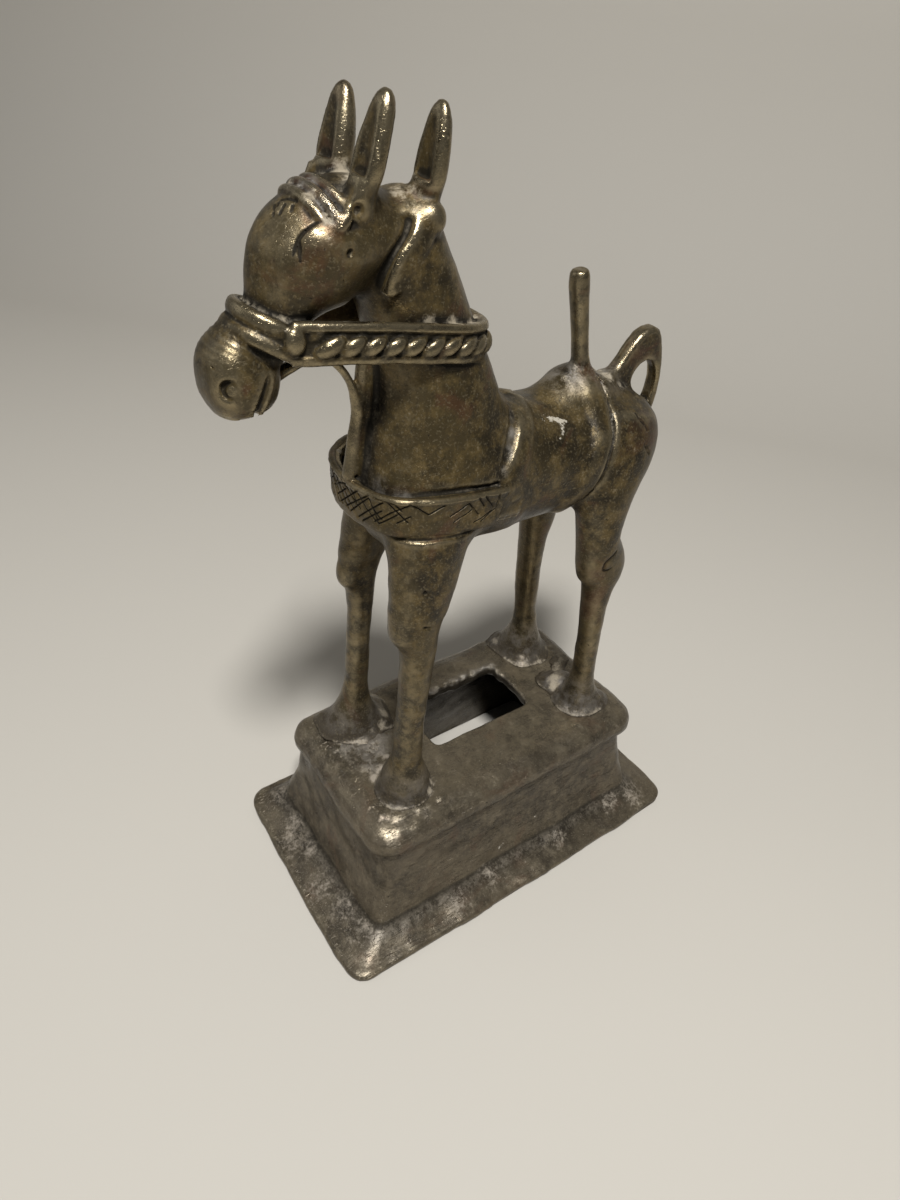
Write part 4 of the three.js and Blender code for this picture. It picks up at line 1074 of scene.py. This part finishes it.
def agedBrass(name, look):
    # Old cast brass after long handling: dark brown oxide and painted shade lie in the low places, bare metal shows
    # where hands rub it, and pale dust and grey solder stay in the hollows.
    material, tree, shader = newMaterial(name)
    smooth = {"interpolation_type": "SMOOTHSTEP"}
    times = {"operation": "MULTIPLY", "use_clamp": True}
    plus = {"operation": "ADD"}
    larger = {"operation": "MAXIMUM"}
    timesPlus = {"operation": "MULTIPLY_ADD"}
    colours = {"output": 2, "data_type": "RGBA"}
    place = node(tree, "TexCoord", {}, "Object")
    facing = node(tree, "SeparateXYZ", {0: node(tree, "NewGeometry", {}, "Normal")}, 2)
    close, wide, soldered, dusty, foot, chipAway, cutAway = [
        node(tree, "Attribute", {}, "Fac", attribute_name=kept)
        for kept in ("closeHollow", "wideHollow", "solder", "dusty", "foot", "chipAway", "cutAway")]
    # object coordinates are metres, so a scale of 1000 / size makes a pattern of that size in mm
    patches, blotches, redness, grain, pitting, specks = [
        node(tree, "TexNoise", {"Vector": place, "Scale": 1000 / size, "Detail": detail, "Roughness": rough,
                                "Distortion": bent})
        for size, detail, rough, bent in castPatterns]

    # raised places are rubbed back to bare metal, here more and there less; on the plinth's rims and top the same
    # lightening is partly painted highlight
    wornAndHighlit = node(tree, "MapRange", {0: close, 1: 0.49, 2: 0.38}, **smooth)
    uneven = node(tree, "MapRange", {0: blotches, 1: 0.34, 2: 0.58, 3: 0.35}, **smooth)
    rubbedAndHighlit = node(tree, "Math", {0: wornAndHighlit, 1: uneven}, **times)
    # black oxide fills the hollows, the casting pits and the cut lines
    hollow = node(tree, "Math", {0: node(tree, "MapRange", {0: close, 1: 0.53, 2: 0.61}, **smooth), 1: 0.88}, **times)
    pits = node(tree, "MapRange", {0: pitting, 1: 0.3, 2: 0.24, 4: 0.8}, **smooth)
    inked = node(tree, "MapRange", {0: cutAway, 1: 0.42, 2: 0.08, 4: 0.9}, **smooth)
    black = node(tree, "Math", {0: node(tree, "Math", {0: hollow, 1: pits}, **larger), 1: inked}, **larger)
    # rough grey solder, broken up by the blotches
    grey = node(tree, "MapRange", {0: blotches, 1: 0.42, 2: 0.6, 4: 0.85}, **smooth)
    grey = node(tree, "Math", {0: soldered, 1: grey}, **times)
    # dust is a thin film in hollows that face up, and thicker with crumbling edges where it has gathered
    crumbs = node(tree, "Math", {0: node(tree, "Math", {0: blotches, 1: grain}, **plus), 1: -1.0}, **plus)
    film = node(tree, "MapRange", {0: wide, 1: 0.54, 2: 0.68}, **smooth)
    for thinner in (node(tree, "MapRange", {0: facing, 1: 0.0, 2: 0.7}, **smooth), look["dustiness"],
                    node(tree, "MapRange", {0: crumbs, 1: -0.12, 2: 0.12}, **smooth)):
        film = node(tree, "Math", {0: film, 1: thinner}, **times)
    gathered = node(tree, "Math", {0: crumbs, 1: 1.7, 2: dusty}, **timesPlus)
    gathered = node(tree, "MapRange", {0: gathered, 1: 0.2, 2: 0.95, 4: 0.85}, **smooth)
    dust = node(tree, "Math", {0: film, 1: gathered}, **larger)
    # small pale chips with broken edges
    chipEdge = node(tree, "Math", {0: node(tree, "Math", {0: specks, 1: grain}, **plus), 1: 2.2, 2: -2.2}, **timesPlus)
    chipEdge = node(tree, "Math", {0: chipAway, 1: chipEdge}, **plus)
    chipped = node(tree, "MapRange", {0: chipEdge, 1: 0.15, 2: -0.25, 4: 0.85}, **smooth)

    # the tones lie over one another in this order, each as far as its first value says
    tone = look["dark"]
    for amount, layer in (
            # olive over dark brown oxide
            (node(tree, "MapRange", {0: patches, 1: 0.38, 2: 0.62}, **smooth), look["middle"]),
            (node(tree, "MapRange", {0: blotches, 1: 0.42, 2: 0.66, 4: 0.8}, **smooth), look["warm"]),
            # richer in copper
            (node(tree, "MapRange", {0: redness, 1: 0.54, 2: 0.7, 4: look["redness"]}, **smooth), look["red"]),
            (foot, look["footTone"]),
            # dirt from handling, and painted shade darkening the wide hollows
            (node(tree, "MapRange", {0: wide, 1: 0.515, 2: 0.62, 4: look["dirtAndPaintedShade"]}, **smooth), look["shade"]),
            (node(tree, "Math", {0: rubbedAndHighlit, 1: look["rubbingAndHighlight"]}, **times), look["bright"]),
            # worn specks
            (node(tree, "MapRange", {0: specks, 1: 0.54, 2: 0.7, 4: look["mottling"]}, **smooth), look["speck"]),
            # dark grain
            (node(tree, "MapRange", {0: grain, 1: 0.47, 2: 0.3, 4: look["mottling"]}, **smooth), look["shade"]),
            (black, look["black"]), (grey, look["solder"]),
            (dust, node(tree, "Mix", {0: specks, 6: look["dust"], 7: look["dustLight"]}, **colours)),
            (chipped, look["chip"])):
        tone = node(tree, "Mix", {0: amount, 6: tone, 7: layer}, **colours)
    tree.links.new(tone, shader.inputs["Base Color"])

    # worn metal is bare, and dust, chips and black oxide are no metal at all
    dull = node(tree, "Math", {0: dust, 1: chipped}, **larger)
    bare = node(tree, "MapRange", {0: rubbedAndHighlit, 3: look["metallic"]})
    covered = node(tree, "MapRange", {0: node(tree, "Math", {0: dull, 1: black}, **larger), 3: 1.0, 4: 0.05})
    tree.links.new(node(tree, "Math", {0: bare, 1: covered}, **times), shader.inputs["Metallic"])
    tree.links.new(node(tree, "MapRange", {0: black, 3: 0.5, 4: 0.08}), shader.inputs["Specular IOR Level"])
    even = look["roughness"]
    rough = node(tree, "MapRange", {0: blotches, 1: 0.3, 2: 0.7, 3: even - 0.07, 4: even + 0.09})
    rough = node(tree, "Math", {0: rubbedAndHighlit, 1: -0.12, 2: rough}, **timesPlus)
    rough = node(tree, "Math", {0: black, 1: 0.4, 2: rough}, **timesPlus)
    rough = node(tree, "Math", {0: dull, 1: 0.45, 2: rough}, **timesPlus, use_clamp=True)
    tree.links.new(rough, shader.inputs["Roughness"])

    # file marks and hand scratches run two ways over the casting grain, and solder is the roughest
    marks = 0.0
    for turn in look["scratchTurns"]:
        stretched = node(tree, "Mapping", {"Vector": place, "Rotation": turn, "Scale": (1.0, 0.07, 1.0)})
        scratch = node(tree, "TexNoise", {"Vector": stretched, "Scale": 1000 / 0.55, "Detail": 2, "Roughness": 0.6})
        scratch = node(tree, "MapRange", {0: scratch, 1: 0.6, 2: 0.72}, **smooth)
        marks = node(tree, "Math", {0: scratch, 1: marks}, **larger)
    height = node(tree, "Math", {0: marks, 1: -look["scratchDepth"]}, operation="MULTIPLY")
    for form, depth in ((grain, look["grainDepth"]), (blotches, 1.1),
                        (node(tree, "Math", {0: grey, 1: grain}, operation="MULTIPLY"), 2.4)):
        height = node(tree, "Math", {0: form, 1: depth, 2: height}, **timesPlus)
    bump = node(tree, "Bump", {"Height": height, "Strength": look["bump"], "Distance": 0.00025})
    tree.links.new(bump, shader.inputs["Normal"])
    return material


# size in mm, detail, roughness and distortion of the patches, blotches, redder places, grain, pits and specks
castPatterns = [(24, 5, 0.6, 0.6), (5.5, 8, 0.74, 0), (17, 4, 0.6, 1.2), (1.3, 5, 0.72, 0), (2.1, 3, 0.55, 0),
                (0.7, 2, 0.5, 0)]
horseLook = {
    "dark": "#282217", "middle": "#463c26", "warm": "#685734", "red": "#543826", "redness": 0.6, "bright": "#a3967a",
    "rubbingAndHighlight": 0.7, "speck": "#7b7058", "mottling": 0.45, "shade": "#29241c", "dirtAndPaintedShade": 0.75, "black": "#14120e",
    "solder": "#807b74", "dust": "#877c6a", "dustLight": "#a99f8b", "chip": "#aba495", "footTone": "#4d4539",
    "dustiness": 0.55, "metallic": 0.55, "roughness": 0.35, "bump": 0.45, "grainDepth": 0.6,
    "scratchTurns": [(0.3, 0.2, 0.5), (1.1, 0.5, -0.9)], "scratchDepth": 0.35,
}
plinthLook = {
    "dark": "#443d32", "middle": "#5c5344", "warm": "#6c6250", "red": "#604c3b", "redness": 0.45, "bright": "#998e76",
    "rubbingAndHighlight": 0.6, "speck": "#877e6b", "mottling": 0.32, "shade": "#2c2821", "dirtAndPaintedShade": 0.7, "black": "#1c1913",
    "solder": "#807b74", "dust": "#877d6e", "dustLight": "#a2988a", "chip": "#bcb5a8", "footTone": "#544b3f",
    "dustiness": 0.55, "metallic": 0.5, "roughness": 0.31, "bump": 0.6, "grainDepth": 0.5,
    "scratchTurns": [(0.0, 0.0, 0.9), (0.2, 0.0, -0.5)], "scratchDepth": 1.0,
}
say("finishing the metal")
castBrass = agedBrass("agedCastBrass", horseLook)
filedBrass = agedBrass("dulledFiledBrass", plinthLook)
for piece, material, nodeName, slot in ((horse, castBrass, "horse", "horse_brass"),
                                        (band, castBrass, "horse", "horse_brass"),
                                        (plinth, filedBrass, "plinth", "plinth_brass")):
    piece.data.materials.append(material)
    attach(piece, "root")
    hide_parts(nodeName)

room = {
    "floorHex": "#bcb7ad", "floorRoughness": 0.85, "floorTurn": 38.0, "floorHalf": 2.4, "floorFront": -1.6,
    "bendAt": 0.42, "bendRadius": 0.25, "wallTop": 2.2,
    "skyColour": (0.86, 0.88, 0.92, 1), "skyStrength": 0.15,
    "keyPlace": (0.365, -0.227, 0.965), "keySize": 0.15, "keyPower": 12.5,
    "fillPlace": (-0.55, -0.75, 0.7), "fillSize": 0.8, "fillPower": 0.9,
}


def areaLight(name, place, size, power, target=(0, 0, 0.13)):
    light = bpy.data.lights.new(name, "AREA")
    light.shape = "DISK"
    light.size = size
    light.energy = power
    lamp = linked(name, light)
    lamp.location = place
    lamp.rotation_euler = (Vector(target) - Vector(place)).to_track_quat("-Z", "Y").to_euler()


say("lighting")
floorMesh = bpy.data.meshes.new("floor")
# a pale floor that curves up into a wall behind the figure
bendAt, radius = room["bendAt"], room["bendRadius"]
profile = [(room["floorFront"], 0.0), (bendAt, 0.0)]
profile += [(bendAt + radius * math.sin(t), radius - radius * math.cos(t)) for t in np.linspace(0.1, math.pi / 2, 10)]
profile += [(bendAt + radius, room["wallTop"])]
turn = Matrix.Rotation(math.radians(room["floorTurn"]), 4, "Z")
n = len(profile)
corners = [tuple(turn @ Vector((x, y, z))) for x in (-room["floorHalf"], room["floorHalf"]) for y, z in profile]
floorMesh.from_pydata(corners, [], [(i, i + 1, n + i + 1, n + i) for i in range(n - 1)])
shadeSmooth(floorMesh)
# uncoated white card, so matt that it mirrors nothing
card, _, cardShader = newMaterial("paleCard")
cardShader.inputs["Base Color"].default_value = hexColour(room["floorHex"])
cardShader.inputs["Roughness"].default_value = room["floorRoughness"]
floorMesh.materials.append(card)
floor = linked("floor", floorMesh)
world = bpy.data.worlds.new("softSky")
bpy.context.scene.world = world
world.use_nodes = True
sky = world.node_tree.nodes["Background"]
sky.inputs["Color"].default_value = room["skyColour"]
sky.inputs["Strength"].default_value = room["skyStrength"]
areaLight("keyLamp", room["keyPlace"], room["keySize"], room["keyPower"])
areaLight("fillLamp", room["fillPlace"], room["fillSize"], room["fillPower"])

camera = {
    "place": (166.94, -144.23, 281.68), "lens": 24.36, "sensor": 36.0,
    "right": (0.57348, 0.81640, 0.06795), "down": (0.54015, -0.31446, -0.78061),
    "forward": (-0.61592, 0.48437, -0.62132),
}
lensData = bpy.data.cameras.new("viewCamera")
lensData.lens = camera["lens"]
lensData.sensor_width = camera["sensor"]
lensData.sensor_fit = "AUTO"
lensData.clip_start = 0.01
eye = linked("viewCamera", lensData)
columns = [Vector(camera["right"]), -Vector(camera["down"]), -Vector(camera["forward"])]
turned = Matrix(columns).transposed().to_4x4()
turned.translation = Vector((np.array(camera["place"]) + shift) / 1000)
eye.matrix_world = turned
bpy.context.scene.camera = eye
bpy.context.scene.view_settings.view_transform = "Standard"

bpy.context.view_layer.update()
say("done")
